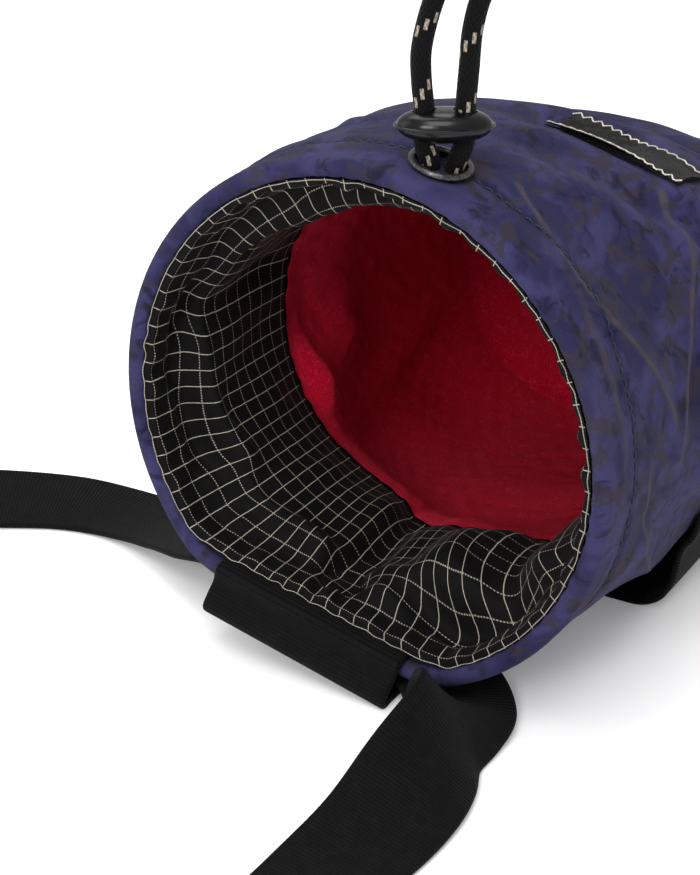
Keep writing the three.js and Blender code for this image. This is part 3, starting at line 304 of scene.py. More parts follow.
def between(p0, p1, p2, p3, w, even=False):
    """Place w of the way from p1 to p2 on a smooth curve; even weighs all four points alike."""
    if even:
        m1, m2 = (p2 - p0) * 0.5, (p3 - p1) * 0.5
    else:
        d0, d1, d2 = (np.sqrt(np.linalg.norm(b - a, axis=-1, keepdims=True))
                      for a, b in ((p0, p1), (p1, p2), (p2, p3)))
        m1 = ((p1 - p0) / d0 - (p2 - p0) / (d0 + d1) + (p2 - p1) / d1) * d1
        m2 = ((p2 - p1) / d1 - (p3 - p1) / (d1 + d2) + (p3 - p2) / d2) * d1
    return p1 + m1 * w + (3 * (p2 - p1) - 2 * m1 - m2) * w ** 2 + (2 * (p1 - p2) + m1 + m2) * w ** 3


def catmull(points, t, even=False):
    """Points of a smooth curve through a list of points; t runs from 0 to 1 over all of it."""
    points = np.asarray(points, float)
    ends = np.concatenate([[2 * points[0] - points[1]], points, [2 * points[-1] - points[-2]]])
    place = np.asarray(t, float) * (len(points) - 1)
    i = np.clip(np.floor(place).astype(int), 0, len(points) - 2)
    return between(*(ends[i + k] for k in range(4)), (place - i)[..., None], even)


def collar_point(angle, station):
    """Visible side of the ripstop sleeve: 0 is at the hem, 1 at the fleece."""
    angle, station = np.broadcast_arrays(np.asarray(angle, float), np.asarray(station, float))
    keys = COLLAR_PROFILES[:, 0]
    crest, crest_at, behind, behind_at, end, end_at = (
        column(keys, COLLAR_PROFILES[:, k], angle, 360.0) for k in range(1, 7))
    mouth = collar_mouth(angle)

    def reach(share):
        return np.minimum(share * MOUTH_RADIUS, mouth + 1)

    profile = [
        (mouth, 1.2 + 0 * mouth), (mouth - 0.6, 0.3 * CHANNEL_DEPTH + 0 * mouth),
        (mouth - 0.8, 0.6 * CHANNEL_DEPTH + 0 * mouth), (mouth + 0.2, CHANNEL_DEPTH + 0 * mouth),
        (reach(mix(mouth / MOUTH_RADIUS, crest, 0.75)), mix(CHANNEL_DEPTH, crest_at * COLLAR_DEPTH, 0.4)),
        (reach(crest), crest_at * COLLAR_DEPTH), (reach(behind), behind_at * COLLAR_DEPTH),
        (reach(end), end_at * COLLAR_DEPTH),
    ]
    line = np.stack([np.stack(p, -1) for p in profile], 0)
    flat = catmull_grid(line, station)
    place = (station - CREASE_STATION) / (1 - CREASE_STATION)
    fold = np.where(place > 0, fold_height(COLLAR_FOLDS, angle, place, COLLAR_DEPTH / MOUTH_RADIUS), 0)
    radius = np.minimum(mouth + 1, flat[..., 0] - fold * smooth(place / 0.2) * MOUTH_RADIUS)
    point = spoke(angle) * radius[..., None]
    point[..., 1] += flat[..., 1]
    point[..., 2] += AXIS_HEIGHT
    return point


def catmull_grid(line, t):
    """As catmull, for a curve that differs from place to place: line is (points, ..., 2)."""
    ends = np.concatenate([2 * line[:1] - line[1:2], line, 2 * line[-1:] - line[-2:-1]])
    place = t * (len(line) - 1)
    i = np.clip(np.floor(place).astype(int), 0, len(line) - 2)
    near = (np.take_along_axis(ends, (i + k)[None, ..., None], 0)[0] for k in range(4))
    return between(*near, (place - i)[..., None])


def shell_at_depth(angle, y):
    at = y / BAG_DEPTH
    for _ in range(4):
        at = np.minimum(1, at + (y - shell_point(angle, at)[..., 1]) / BAG_DEPTH)
    return shell_point(angle, at)


def room_inside(angle, y):
    """Smallest radius of the shell round a place."""
    least = np.full(np.broadcast(angle, y).shape, np.inf)
    for turn in (-7, 0, 7):
        for step in (-6, 0, 6):
            p = shell_at_depth(angle + turn, y + step)
            least = np.minimum(least, np.hypot(p[..., 0], p[..., 2] - AXIS_HEIGHT))
    return least


def liner_point(angle, place):
    """Visible side of the fleece pouch, from the end of the sleeve (0) to the pouch floor (1)."""
    angle, place = np.broadcast_arrays(np.asarray(angle, float), np.asarray(place, float))
    seam = collar_point(angle, 1.0)
    seam_radius = np.hypot(seam[..., 0], seam[..., 2] - AXIS_HEIGHT)
    y = mix(seam[..., 1] + 2 * FIT_GAP, LINER_FLOOR, place)
    wall = shell_at_depth(angle, y)
    room = room_inside(angle, y) - SHELL_WALL - FLEECE_WALL - 1.6
    lobe = fold_height(LINER_LOBES, angle, place, (LINER_FLOOR - COLLAR_DEPTH) / MOUTH_RADIUS)
    share = column(LINER_ROOM[:, 0], LINER_ROOM[:, 1], place)
    wide = np.where(place > 0, np.minimum(room, mix(seam_radius, room, share)), seam_radius)
    radius = wide - lobe * MOUTH_RADIUS * smooth(place / 0.08)
    to = unit(np.stack([wall[..., 0], 0 * y, wall[..., 2] - AXIS_HEIGHT], -1))
    turn = smooth(place / 0.22)[..., None]
    point = unit(spoke(angle) * (1 - turn) + to * turn) * radius[..., None]
    point[..., 1] += y
    point[..., 2] += AXIS_HEIGHT
    return point


def cloth_folds(angle, y):
    """Height in millimetres of the sharp folds, and how close a place is to a crest of one."""
    height, crest = np.zeros(np.broadcast(angle, y).shape), np.zeros(np.broadcast(angle, y).shape)
    for points, half, high in CLOTH_FOLDS:
        gap = np.full(height.shape, np.inf)
        for (a0, y0), (a1, y1) in zip(points, points[1:]):
            dx, dy = angle_between(a1, a0) * RAD * MOUTH_RADIUS, y1 - y0
            px, py = angle_between(angle, a0) * RAD * MOUTH_RADIUS, y - y0
            s = np.clip((px * dx + py * dy) / (dx * dx + dy * dy), 0, 1)
            gap = np.minimum(gap, np.hypot(px - s * dx, py - s * dy))
        height += high * np.exp(-np.abs(gap / half) ** 1.6)
        if high > 0:
            crest = np.maximum(crest, np.exp(-(gap / (0.45 * half)) ** 2))
    return height, crest


def ripple(seed, angle, along, rounds, lengths):
    """Even, seeded waviness between about -1 and 1; rounds are waves in a turn, lengths are in mm."""
    rng = np.random.default_rng(seed)
    total = np.zeros(np.broadcast(angle, along).shape)
    norm = 0.0
    for _ in range(9):
        waves = rng.integers(rounds[0], rounds[1] + 1) * rng.choice([-1, 1])
        length = rng.uniform(*lengths)
        total += np.sin(waves * angle * RAD + 2 * math.pi * along / length + rng.uniform(0, 2 * math.pi))
        norm += 1
    return total / norm ** 0.5 / 1.4


def normals_of(points, closed=True):
    """Unit normals of a grid of points, out of the side from which columns run clockwise."""
    if closed:
        turn = np.roll(points, -1, 1) - np.roll(points, 1, 1)
    else:
        turn = np.gradient(points, axis=1)
    back = np.gradient(points, axis=0)
    return unit(np.cross(turn, back))


# Meshes


def to_world(points):
    out = np.array(points, float)
    out[..., 1] -= REST_BACK
    return out * MM


def add_object(name, mesh):
    obj = bpy.data.objects.new(name, mesh)
    bpy.context.scene.collection.objects.link(obj)
    return obj


def skin(name, points, uv, closed=False, flip=False, values=None):
    """Mesh of a grid of points in millimetres, with a UV map in millimetres and named point values."""
    rows, cols = points.shape[:2]
    index = np.arange(rows * cols).reshape(rows, cols)
    if closed:
        index = np.concatenate([index, index[:, :1]], 1)
    corners = [(slice(None, -1), slice(None, -1)), (slice(None, -1), slice(1, None)),
               (slice(1, None), slice(1, None)), (slice(1, None), slice(None, -1))]
    if flip:
        corners = corners[::-1]
    faces = np.stack([index[c] for c in corners], -1).reshape(-1, 4)
    mesh = bpy.data.meshes.new(name)
    mesh.from_pydata(to_world(points).reshape(-1, 3).tolist(), [], faces.tolist())
    layer = mesh.uv_layers.new(name="UVMap")
    layer.data.foreach_set("uv", np.stack([uv[c] for c in corners], -2).reshape(-1))
    for key, value in (values or {}).items():
        attribute = mesh.attributes.new(key, "FLOAT", "POINT")
        attribute.data.foreach_set("value", np.asarray(value, np.float32).reshape(-1))
    mesh.polygons.foreach_set("use_smooth", [True] * len(mesh.polygons))
    mesh.update()
    return add_object(name, mesh)


def tube(name, line, radius, sides):
    """Round mesh along a line in millimetres; radius may be one value or one for each point."""
    line = np.asarray(line, float)
    tangent = unit(np.gradient(line, axis=0))
    normal = np.zeros_like(line)
    first = np.cross(tangent[0], (0.3, 0.9, 0.2))
    normal[0] = unit(first)
    for i in range(1, len(line)):
        n = normal[i - 1] - tangent[i] * np.dot(normal[i - 1], tangent[i])
        normal[i] = unit(n)
    binormal = np.cross(tangent, normal)
    turn = np.arange(sides) * 2 * math.pi / sides
    size = np.broadcast_to(np.asarray(radius, float), (len(line),))[:, None, None]
    ring = normal[:, None] * np.cos(turn)[None, :, None] + binormal[:, None] * np.sin(turn)[None, :, None]
    points = line[:, None] + ring * size
    along = np.concatenate([[0], np.cumsum(np.linalg.norm(np.diff(line, axis=0), axis=1))])
    u = np.linspace(0, 1, sides + 1)
    uv = np.stack(np.broadcast_arrays(u[None, :], along[:, None]), -1)
    return skin(name, points, uv, closed=True, flip=True)


def cap_ends(obj):
    """Closes the open ends of a tube."""
    bm = bmesh.new()
    bm.from_mesh(obj.data)
    edges = [e for e in bm.edges if e.is_boundary]
    bmesh.ops.holes_fill(bm, edges=edges, sides=0)
    bm.to_mesh(obj.data)
    bm.free()


def strap(name, middle, normal, wall, across, along):
    """Webbing with rounded edges: middle and normal are grids of (station along, place across)."""
    half = np.abs(across).max()
    round_ = wall / 2
    inner = np.clip((np.abs(across) - (half - round_)) / round_, 0, 1)
    thick = wall / 2 * np.sqrt(np.maximum(1 - inner ** 2, 0.02))
    top = middle + normal * thick[None, :, None]
    bottom = middle - normal * thick[None, :, None]
    low = np.minimum(top[..., 2], bottom[..., 2])
    lift = np.maximum(0, 0.02 - low)
    top[..., 2] += lift
    bottom[..., 2] += lift
    loop = np.concatenate([top, bottom[:, ::-1]], 1)
    ends = [np.concatenate([middle[k], middle[k][::-1]])[None] for k in (0, -1)]
    loop = np.concatenate([ends[0], loop, ends[1]], 0)
    length = np.concatenate([[along[0] - 0.1], along, [along[-1] + 0.1]])
    u = np.concatenate([across, across[::-1] + 2 * half + 3, [across[0]]])
    uv = np.stack(np.broadcast_arrays(u[None, :], length[:, None]), -1)
    return skin(name, loop, uv, closed=True)


def finish_piece(obj, material, slot, *nodes):
    obj.data.materials.clear()
    obj.data.materials.append(material)
    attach(obj, "root")
    if nodes:
        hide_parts(*nodes)
    return obj


# Shaders


class Sheet:
    """Short calls that place and join the nodes of one shader tree."""

    def __init__(self, tree):
        self.tree = tree
        self.column = 0

    def node(self, kind, settings=None, **inputs):
        made = self.tree.nodes.new(kind)
        made.location = (180 * (self.column % 12), -220 * (self.column // 12))
        self.column += 1
        for key, value in (settings or {}).items():
            setattr(made, key, value)
        for key, value in inputs.items():
            self.set(made, key.replace("_", " "), value)
        return made

    def set(self, made, key, value):
        socket = made.inputs[int(key[1:])] if key[0] == "#" else made.inputs[key]
        if isinstance(value, bpy.types.NodeSocket):
            self.tree.links.new(value, socket)
        else:
            socket.default_value = value

    def math(self, operation, *values):
        made = self.node("ShaderNodeMath", {"operation": operation})
        for k, value in enumerate(values):
            self.set(made, f"#{k}", value)
        return made.outputs[0]

    def blend(self, share, a, b):
        made = self.node("ShaderNodeMix", {"data_type": "RGBA"})
        self.set(made, "#0", share)
        self.set(made, "#6", a)
        self.set(made, "#7", b)
        return made.outputs[2]

    def noise(self, vector, scale, detail=4.0, rough=0.55, warp=0.0):
        made = self.node("ShaderNodeTexNoise", Vector=vector, Scale=scale, Detail=detail, Roughness=rough,
                         Distortion=warp)
        return made.outputs["Fac"]

    def span(self, value, low, high, to_low=0.0, to_high=1.0):
        made = self.node("ShaderNodeMapRange", {"interpolation_type": "SMOOTHSTEP"})
        for k, v in enumerate((value, low, high, to_low, to_high)):
            self.set(made, f"#{k}", v)
        return made.outputs[0]

    def parts(self, vector):
        made = self.node("ShaderNodeSeparateXYZ", Vector=vector)
        return made.outputs[0], made.outputs[1], made.outputs[2]

    def scaled(self, vector, scale, turn=0.0):
        made = self.node("ShaderNodeMapping", Vector=vector)
        made.inputs["Scale"].default_value = scale
        made.inputs["Rotation"].default_value = (0, 0, turn * RAD)
        return made.outputs[0]

    def bump(self, height, strength, distance):
        return self.node("ShaderNodeBump", Height=height, Strength=strength, Distance=distance).outputs[0]

    def group(self, tree, **inputs):
        made = self.node("ShaderNodeGroup", {"node_tree": tree})
        for key, value in inputs.items():
            self.set(made, key.replace("_", " "), value)
        return made

    def uv(self):
        return self.node("ShaderNodeUVMap", {"uv_map": "UVMap"}).outputs[0]

    def place(self):
        """Place on the object in millimetres."""
        return self.scaled(self.node("ShaderNodeTexCoord").outputs["Object"], (1000, 1000, 1000))

    def value(self, name):
        return self.node("ShaderNodeAttribute", {"attribute_name": name}).outputs["Fac"]


def new_group(name, inputs, outputs):
    tree = bpy.data.node_groups.new(name, "ShaderNodeTree")
    for key, kind, default in inputs:
        socket = tree.interface.new_socket(key, in_out="INPUT", socket_type=kind)
        if default is not None:
            socket.default_value = default
    for key, kind in outputs:
        tree.interface.new_socket(key, in_out="OUTPUT", socket_type=kind)
    sheet = Sheet(tree)
    return sheet, sheet.node("NodeGroupInput"), sheet.node("NodeGroupOutput"), tree


def weave_group():
    """Threads of a plain or ribbed weave: height of the cloth and how deep a place lies between threads, a
    mask for painted shade there.
    """
    if "Weave" in bpy.data.node_groups:
        return bpy.data.node_groups["Weave"]
    s, source, result, tree = new_group(
        "Weave", [("Place", "NodeSocketVector", None), ("Warp", "NodeSocketFloat", 0.5),
                  ("Weft", "NodeSocketFloat", 0.5), ("Rib", "NodeSocketFloat", 0.5)],
        [("Height", "NodeSocketFloat"), ("Between", "NodeSocketFloat")])
    u, v, _ = s.parts(source.outputs["Place"])
    warp = s.math("SINE", s.math("MULTIPLY", s.math("DIVIDE", u, source.outputs["Warp"]), 2 * math.pi))
    weft = s.math("SINE", s.math("MULTIPLY", s.math("DIVIDE", v, source.outputs["Weft"]), 2 * math.pi))
    over = s.math("MULTIPLY", warp, weft)
    ribs = s.math("MULTIPLY", warp, source.outputs["Rib"])
    plain = s.math("MULTIPLY", over, s.math("SUBTRACT", 1.0, source.outputs["Rib"]))
    height = s.math("MULTIPLY_ADD", s.math("ADD", ribs, plain), 0.5, 0.5)
    s.set(result, "Height", height)
    # Painted shade mask, strongest where the cloth lies lowest between threads.
    s.set(result, "Between", s.span(height, 0.45, 0.05))
    return tree


def wear_group():
    """Cloudy variation of cloth: a broad one, a streaky one and a fine one, each from 0 to 1."""
    if "Cloudiness" in bpy.data.node_groups:
        return bpy.data.node_groups["Cloudiness"]
    s, source, result, tree = new_group(
        "Cloudiness", [("Place", "NodeSocketVector", None), ("Size", "NodeSocketFloat", 12.0)],
        [("Broad", "NodeSocketFloat"), ("Streaks", "NodeSocketFloat"), ("Fine", "NodeSocketFloat")])
    scale = s.math("DIVIDE", 1.0, source.outputs["Size"])
    s.set(result, "Broad", s.noise(source.outputs["Place"], scale, 3.0, 0.6, 0.6))
    shift = s.node("ShaderNodeVectorMath", {"operation": "ADD"})
    s.set(shift, "#0", source.outputs["Place"])
    s.set(shift, "#1", (37.0, 11.0, 5.0))
    s.set(result, "Streaks", s.noise(shift.outputs[0], s.math("MULTIPLY", scale, 2.3), 5.0, 0.62, 1.2))
    s.set(result, "Fine", s.noise(source.outputs["Place"], s.math("MULTIPLY", scale, 14.0), 3.0, 0.7))
    return tree


def new_material(name):
    material = bpy.data.materials.new(name)
    material.use_nodes = True
    sheet = Sheet(material.node_tree)
    shader = material.node_tree.nodes["Principled BSDF"]
    return material, sheet, shader


def rgb(colour):
    return (colour[0], colour[1], colour[2], 1.0)


def shell_cloth(settings):
    """Mottled indigo print on a fine ribbed weave, with a painted grey-brown highlight along its ridges."""
    material, s, shader = new_material("shell_print")
    uv = s.uv()
    cloud = s.group(wear_group(), Place=s.place(), Size=17.0).outputs
    small = s.group(wear_group(), Place=s.place(), Size=6.0).outputs
    weave = s.group(weave_group(), Place=s.scaled(uv, (1, 1, 1), -24), Warp=0.42, Weft=0.42, Rib=0.72).outputs
    base = s.blend(s.span(cloud["Broad"], 0.42, 0.58), rgb(settings.shell_deep), rgb(settings.shell_light))
    base = s.blend(s.span(cloud["Streaks"], 0.5, 0.6, 0.0, 0.8), base, rgb(settings.shell_brown))
    base = s.blend(s.span(small["Broad"], 0.52, 0.68, 0.0, 0.65), base, rgb(settings.shell_navy_print_and_shade))
    # Painted highlight: lighter grey-brown in streaks along the ridges of the folds.
    ridge = s.span(s.value("ridge"), 0.35, 1.0)
    ridge_highlight = s.math("MULTIPLY", ridge, s.span(small["Streaks"], 0.3, 0.6, 0.35, 1.0))
    base = s.blend(ridge_highlight, base, rgb(settings.shell_ridge_highlight))
    # Painted shade: darkens the seam's groove and the base panel's rim towards navy.
    base = s.blend(s.math("MULTIPLY", s.value("crease_shade"), 0.6), base, rgb(settings.shell_navy_print_and_shade))
    # Painted shade between the threads.
    base = s.blend(s.math("MULTIPLY", weave["Between"], 0.45), base, rgb(settings.shell_navy_print_and_shade))
    s.set(shader, "Base Color", base)
    s.set(shader, "Roughness", s.span(small["Fine"], 0.3, 0.7, 0.72, 0.88))
    height = s.math("MULTIPLY_ADD", small["Fine"], 0.5, weave["Height"])
    s.set(shader, "Normal", s.bump(height, 0.6, 0.00012))
    shader.inputs["Sheen Weight"].default_value = 0.02
    shader.inputs["Sheen Roughness"].default_value = 0.5
    shader.inputs["Specular IOR Level"].default_value = 0.06
    return material


def ripstop_cloth(settings):
    """Thin black cloth with a cream grid: solid lines one way, dotted lines the other."""
    material, s, shader = new_material("ripstop_grid")
    uv = s.uv()
    u, v, _ = s.parts(uv)
    cells = s.group(wear_group(), Place=uv, Size=3.0).outputs
    shake = s.math("MULTIPLY", s.math("SUBTRACT", cells["Broad"], 0.5), 0.35)
    lines = []
    for value in (u, v):
        place = s.math("ADD", value, shake)
        away = s.math("MULTIPLY", s.math("ABSOLUTE", s.math(
            "SUBTRACT", s.math("FRACT", s.math("DIVIDE", place, GRID_PITCH)), 0.5)), GRID_PITCH)
        lines.append(s.span(away, 0.15, 0.06))
    dots = s.span(s.math("SINE", s.math("MULTIPLY", u, 2 * math.pi / 0.7)), -0.3, 0.5, 0.1, 0.95)
    round_lines = s.math("MULTIPLY", lines[1], dots)
    grid = s.math("MAXIMUM", lines[0], round_lines)
    weave = s.group(weave_group(), Place=uv, Warp=0.24, Weft=0.24, Rib=0.1).outputs
    # Painted shade between the threads of the ground.
    cloth = s.blend(weave["Between"], rgb(settings.ripstop_black), (0.004, 0.004, 0.004, 1))
    thread = s.blend(s.span(cells["Fine"], 0.3, 0.7), rgb(settings.ripstop_cream),
                     rgb([0.55 * c for c in settings.ripstop_cream]))
    s.set(shader, "Base Color", s.blend(grid, cloth, thread))
    s.set(shader, "Roughness", s.span(cells["Fine"], 0.3, 0.7, 0.5, 0.66))
    height = s.math("MULTIPLY_ADD", grid, 1.2, s.math("MULTIPLY", weave["Height"], 0.5))
    s.set(shader, "Normal", s.bump(height, 0.6, 0.0001))
    shader.inputs["Sheen Weight"].default_value = 0.02
    shader.inputs["Specular IOR Level"].default_value = 0.06
    return material


def fleece_cloth(settings):
    """Short crimson pile, lighter where it catches the light along its lobes."""
    material, s, shader = new_material("fleece_pile")
    place = s.place()
    pile = s.group(wear_group(), Place=place, Size=4.0).outputs
    broad = s.group(wear_group(), Place=place, Size=22.0).outputs
    # Painted shade between the tufts of the pile.
    base = s.blend(s.span(pile["Fine"], 0.34, 0.66), rgb(settings.fleece_tuft_shade_and_tone), rgb(settings.fleece_red))
    # Painted highlight on the tips of the pile, in streaks.
    base = s.blend(s.span(pile["Streaks"], 0.5, 0.75, 0.0, 0.5), base, rgb(settings.fleece_tip_highlight))
    # Broad random patches darkened towards the same colour.
    base = s.blend(s.span(broad["Broad"], 0.55, 0.75, 0.0, 0.35), base, rgb(settings.fleece_tuft_shade_and_tone))
    s.set(shader, "Base Color", base)
    s.set(shader, "Roughness", s.span(pile["Fine"], 0.3, 0.7, 0.86, 1.0))
    height = s.math("MULTIPLY_ADD", pile["Streaks"], 0.8, pile["Fine"])
    s.set(shader, "Normal", s.bump(height, 0.9, 0.0007))
    shader.inputs["Sheen Weight"].default_value = 0.2
    shader.inputs["Sheen Roughness"].default_value = 0.45
    shader.inputs["Sheen Tint"].default_value = (1.0, 0.25, 0.32, 1)
    shader.inputs["Specular IOR Level"].default_value = 0.03
    return material


def webbing_cloth(settings):
    """Black webbing with ribs across it."""
    material, s, shader = new_material("ribbed_webbing")
    uv = s.uv()
    worn = s.group(wear_group(), Place=uv, Size=9.0).outputs
    weave = s.group(weave_group(), Place=s.scaled(uv, (1, 1, 1), 90), Warp=0.9, Weft=1.1,
                    Rib=0.85).outputs
    base = s.blend(s.span(worn["Streaks"], 0.35, 0.7), rgb(settings.webbing_black),
                   rgb([1.5 * c for c in settings.webbing_black]))
    # Painted shade between the ribs and threads.
    base = s.blend(s.math("MULTIPLY", weave["Between"], 0.8), base, (0.002, 0.002, 0.002, 1))
    s.set(shader, "Base Color", base)
    s.set(shader, "Roughness", s.span(worn["Fine"], 0.3, 0.7, 0.6, 0.8))
    height = s.math("MULTIPLY_ADD", worn["Fine"], 0.35, weave["Height"])
    s.set(shader, "Normal", s.bump(height, 0.8, 0.00022))
    shader.inputs["Sheen Weight"].default_value = 0.02
    shader.inputs["Specular IOR Level"].default_value = 0.05
    return material


def cord_braid(settings):
    """Black braided cord with a helix of beige tracer stitches."""
    material, s, shader = new_material("braided_cord")
    u, v, _ = s.parts(s.uv())
    count, pitch, round_mm = 8.0, 13.6, math.pi * CORD_DIAMETER
    cell = s.math("ROUND", s.math("MULTIPLY", u, count))
    across = s.math("MULTIPLY", s.math("SUBTRACT", u, s.math("DIVIDE", cell, count)), round_mm)
    shift = s.math("SUBTRACT", v, s.math("MULTIPLY", cell, pitch / count))
    wrapped = s.math("SUBTRACT", s.math("FRACT", s.math("ADD", s.math("DIVIDE", shift, pitch), 0.5)), 0.5)
    along = s.math("MULTIPLY", wrapped, pitch)
    dash = s.math("MULTIPLY", s.span(s.math("ABSOLUTE", across), 0.46, 0.34),
                  s.span(s.math("ABSOLUTE", along), 1.15, 0.95))
    turns = s.math("MULTIPLY", u, 2 * math.pi * 12)
    lift = s.math("MULTIPLY", v, 2 * math.pi / 1.7)
    one = s.math("SINE", s.math("ADD", turns, lift))
    other = s.math("SINE", s.math("SUBTRACT", turns, lift))
    braid = s.math("MAXIMUM", one, other)
    # Painted shade: the black and the tracer darken where the braid's strands dip.
    base = s.blend(s.span(braid, 0.2, -0.4), rgb(settings.cord_black), (0.003, 0.003, 0.003, 1))
    thread = s.blend(s.span(braid, 0.9, 0.2), rgb(settings.cord_tracer),
                     rgb([0.6 * c for c in settings.cord_tracer]))
    s.set(shader, "Base Color", s.blend(dash, base, thread))
    s.set(shader, "Roughness", s.span(braid, -0.4, 1.0, 0.85, 0.62))
    s.set(shader, "Normal", s.bump(s.math("MULTIPLY_ADD", dash, 0.6, braid), 0.7, 0.00016))
    shader.inputs["Sheen Weight"].default_value = 0.03
    shader.inputs["Specular IOR Level"].default_value = 0.07
    return material


def moulded_plastic(settings, name, rough, grain):
    """Black plastic; rough and grain set how glossy it is."""
    material, s, shader = new_material(name)
    place = s.place()
    worn = s.group(wear_group(), Place=place, Size=7.0).outputs
    s.set(shader, "Base Color", s.blend(s.span(worn["Broad"], 0.35, 0.7), rgb(settings.plastic_black),
                                        rgb([1.9 * c for c in settings.plastic_black])))
    s.set(shader, "Roughness", s.span(worn["Streaks"], 0.3, 0.75, rough, rough + 0.12))
    s.set(shader, "Normal", s.bump(worn["Fine"], grain, 0.00008))
    shader.inputs["Specular IOR Level"].default_value = 0.3
    return material


def eyelet_metal():
    """Dark metal, scuffed in streaks."""
    material, s, shader = new_material("gunmetal")
    worn = s.group(wear_group(), Place=s.place(), Size=2.5).outputs
    s.set(shader, "Base Color", s.blend(s.span(worn["Streaks"], 0.4, 0.7), (0.05, 0.05, 0.055, 1),
                                        (0.14, 0.13, 0.13, 1)))
    s.set(shader, "Roughness", s.span(worn["Fine"], 0.3, 0.7, 0.25, 0.45))
    s.set(shader, "Normal", s.bump(worn["Fine"], 0.25, 0.00005))
    shader.inputs["Metallic"].default_value = 0.9
    return material


def thread_finish(name, colour):
    """Twisted sewing thread."""
    material, s, shader = new_material(name)
    u, v, _ = s.parts(s.uv())
    twist = s.math("SINE", s.math("ADD", s.math("MULTIPLY", u, 2 * math.pi * 2), s.math("MULTIPLY", v, 9.0)))
    worn = s.group(wear_group(), Place=s.place(), Size=5.0).outputs
    base = s.blend(s.span(worn["Broad"], 0.35, 0.7), rgb(colour), rgb([0.6 * c for c in colour]))
    # Painted shade in the grooves of the twist.
    base = s.blend(s.span(twist, 0.2, -0.9, 0.0, 0.5), base, rgb([0.35 * c for c in colour]))
    s.set(shader, "Base Color", base)
    s.set(shader, "Roughness", s.span(worn["Fine"], 0.3, 0.7, 0.6, 0.8))
    s.set(shader, "Normal", s.bump(twist, 0.5, 0.00006))
    return material


def label_cloth():
    """Black woven patch."""
    material, s, shader = new_material("woven_label")
    uv = s.uv()
    weave = s.group(weave_group(), Place=uv, Warp=0.5, Weft=0.35, Rib=0.6).outputs
    worn = s.group(wear_group(), Place=uv, Size=6.0).outputs
    base = s.blend(s.span(worn["Streaks"], 0.35, 0.75), (0.012, 0.012, 0.012, 1), (0.035, 0.034, 0.033, 1))
    # Painted shade between the threads.
    s.set(shader, "Base Color", s.blend(weave["Between"], base, (0.004, 0.004, 0.004, 1)))
    s.set(shader, "Roughness", s.span(worn["Fine"], 0.3, 0.7, 0.8, 0.95))
    s.set(shader, "Normal", s.bump(weave["Height"], 0.7, 0.00012))
    shader.inputs["Sheen Weight"].default_value = 0.03
    shader.inputs["Specular IOR Level"].default_value = 0.07
    return material


def material_named(name, make, *values):
    return bpy.data.materials.get(name) or make(*values)


def thread_named(name, colour):
    return material_named(name, thread_finish, name, colour)


# Pieces


def cord_line():
    turn = LOCK_TURN * RAD
    eyelet = surface_frame(EYELET_ANGLE, EYELET_BACK / BAG_DEPTH)[0]
    across, away, up = CORD_ROUTE.T
    return np.stack([eyelet[0] + across * math.cos(turn) - away * math.sin(turn),
                     eyelet[1] + across * math.sin(turn) + away * math.cos(turn), eyelet[2] + up], -1)


def make_lock(settings):
    """Oval cord lock with two bores and a parting flange."""
    body, high, sides = LOCK_LENGTH / 2 - 0.6, LOCK_HEIGHT / 2, 96
    lat = np.linspace(math.pi / 2, 0, 22)
    dome = [(max(body * math.cos(a) ** 0.7, 0.01), high * math.sin(a)) for a in lat[:-1]]
    dome = [(r, max(h, 0.34)) if r > 0.9 * body else (r, h) for r, h in dome]
    profile = dome + [(body + 0.02, 0.34), (body + 0.32, 0.3), (LOCK_LENGTH / 2 - 0.05, 0.2)]
    profile = profile + [(LOCK_LENGTH / 2, 0.0)] + [(r, -h) for r, h in reversed(profile)]
    turn = np.arange(sides) * 2 * math.pi / sides
    points = np.array([[(r * math.cos(a), r * math.sin(a) * LOCK_DEPTH / LOCK_LENGTH, h) for a in turn]
                       for r, h in profile])
    mesh = bpy.data.meshes.new("cord_lock_body")
    bm = bmesh.new()
    rings = [[bm.verts.new(p) for p in ring] for ring in points]
    for a, b in zip(rings, rings[1:]):
        for i in range(sides):
            n = (i + 1) % sides
            bm.faces.new((a[i], b[i], b[n], a[n]))
    bm.faces.new(rings[0])
    bm.faces.new(list(reversed(rings[-1])))
    bmesh.ops.recalc_face_normals(bm, faces=bm.faces)
    bm.to_mesh(mesh)
    bm.free()
    body_obj = add_object("cord_lock_body", mesh)
    for side in (-1, 1):
        bore_mesh = bpy.data.meshes.new("bore")
        bm = bmesh.new()
        bmesh.ops.create_cone(bm, cap_ends=True, segments=48, radius1=CORD_DIAMETER / 2 + 0.3,
                              radius2=CORD_DIAMETER / 2 + 0.3, depth=3 * LOCK_HEIGHT)
        bmesh.ops.translate(bm, verts=bm.verts, vec=(side * LOCK_BORE_SPREAD, 0, 0))
        bm.to_mesh(bore_mesh)
        bm.free()
        bore = add_object("bore", bore_mesh)
        cut = body_obj.modifiers.new("bore", "BOOLEAN")
        cut.operation = "DIFFERENCE"
        cut.object = bore
        cut.solver = "EXACT"
        graph = bpy.context.evaluated_depsgraph_get()
        new = bpy.data.meshes.new_from_object(body_obj.evaluated_get(graph))
        body_obj.modifiers.clear()
        body_obj.data = new
        bpy.data.objects.remove(bore)
    eyelet = surface_frame(EYELET_ANGLE, EYELET_BACK / BAG_DEPTH)[0]
    turn = LOCK_TURN * RAD
    place = eyelet + np.array([LOCK_SHIFT * math.cos(turn), LOCK_SHIFT * math.sin(turn), LOCK_RISE])
    rotate = np.array([[math.cos(turn), -math.sin(turn), 0], [math.sin(turn), math.cos(turn), 0], [0, 0, 1]])
    mesh = body_obj.data
    co = np.empty(len(mesh.vertices) * 3)
    mesh.vertices.foreach_get("co", co)
    co = to_world(co.reshape(-1, 3) @ rotate.T + place)
    mesh.vertices.foreach_set("co", co.reshape(-1))
    mesh.polygons.foreach_set("use_smooth", [True] * len(mesh.polygons))
    mesh.set_sharp_from_angle(angle=math.radians(38))
    mesh.update()
    return body_obj


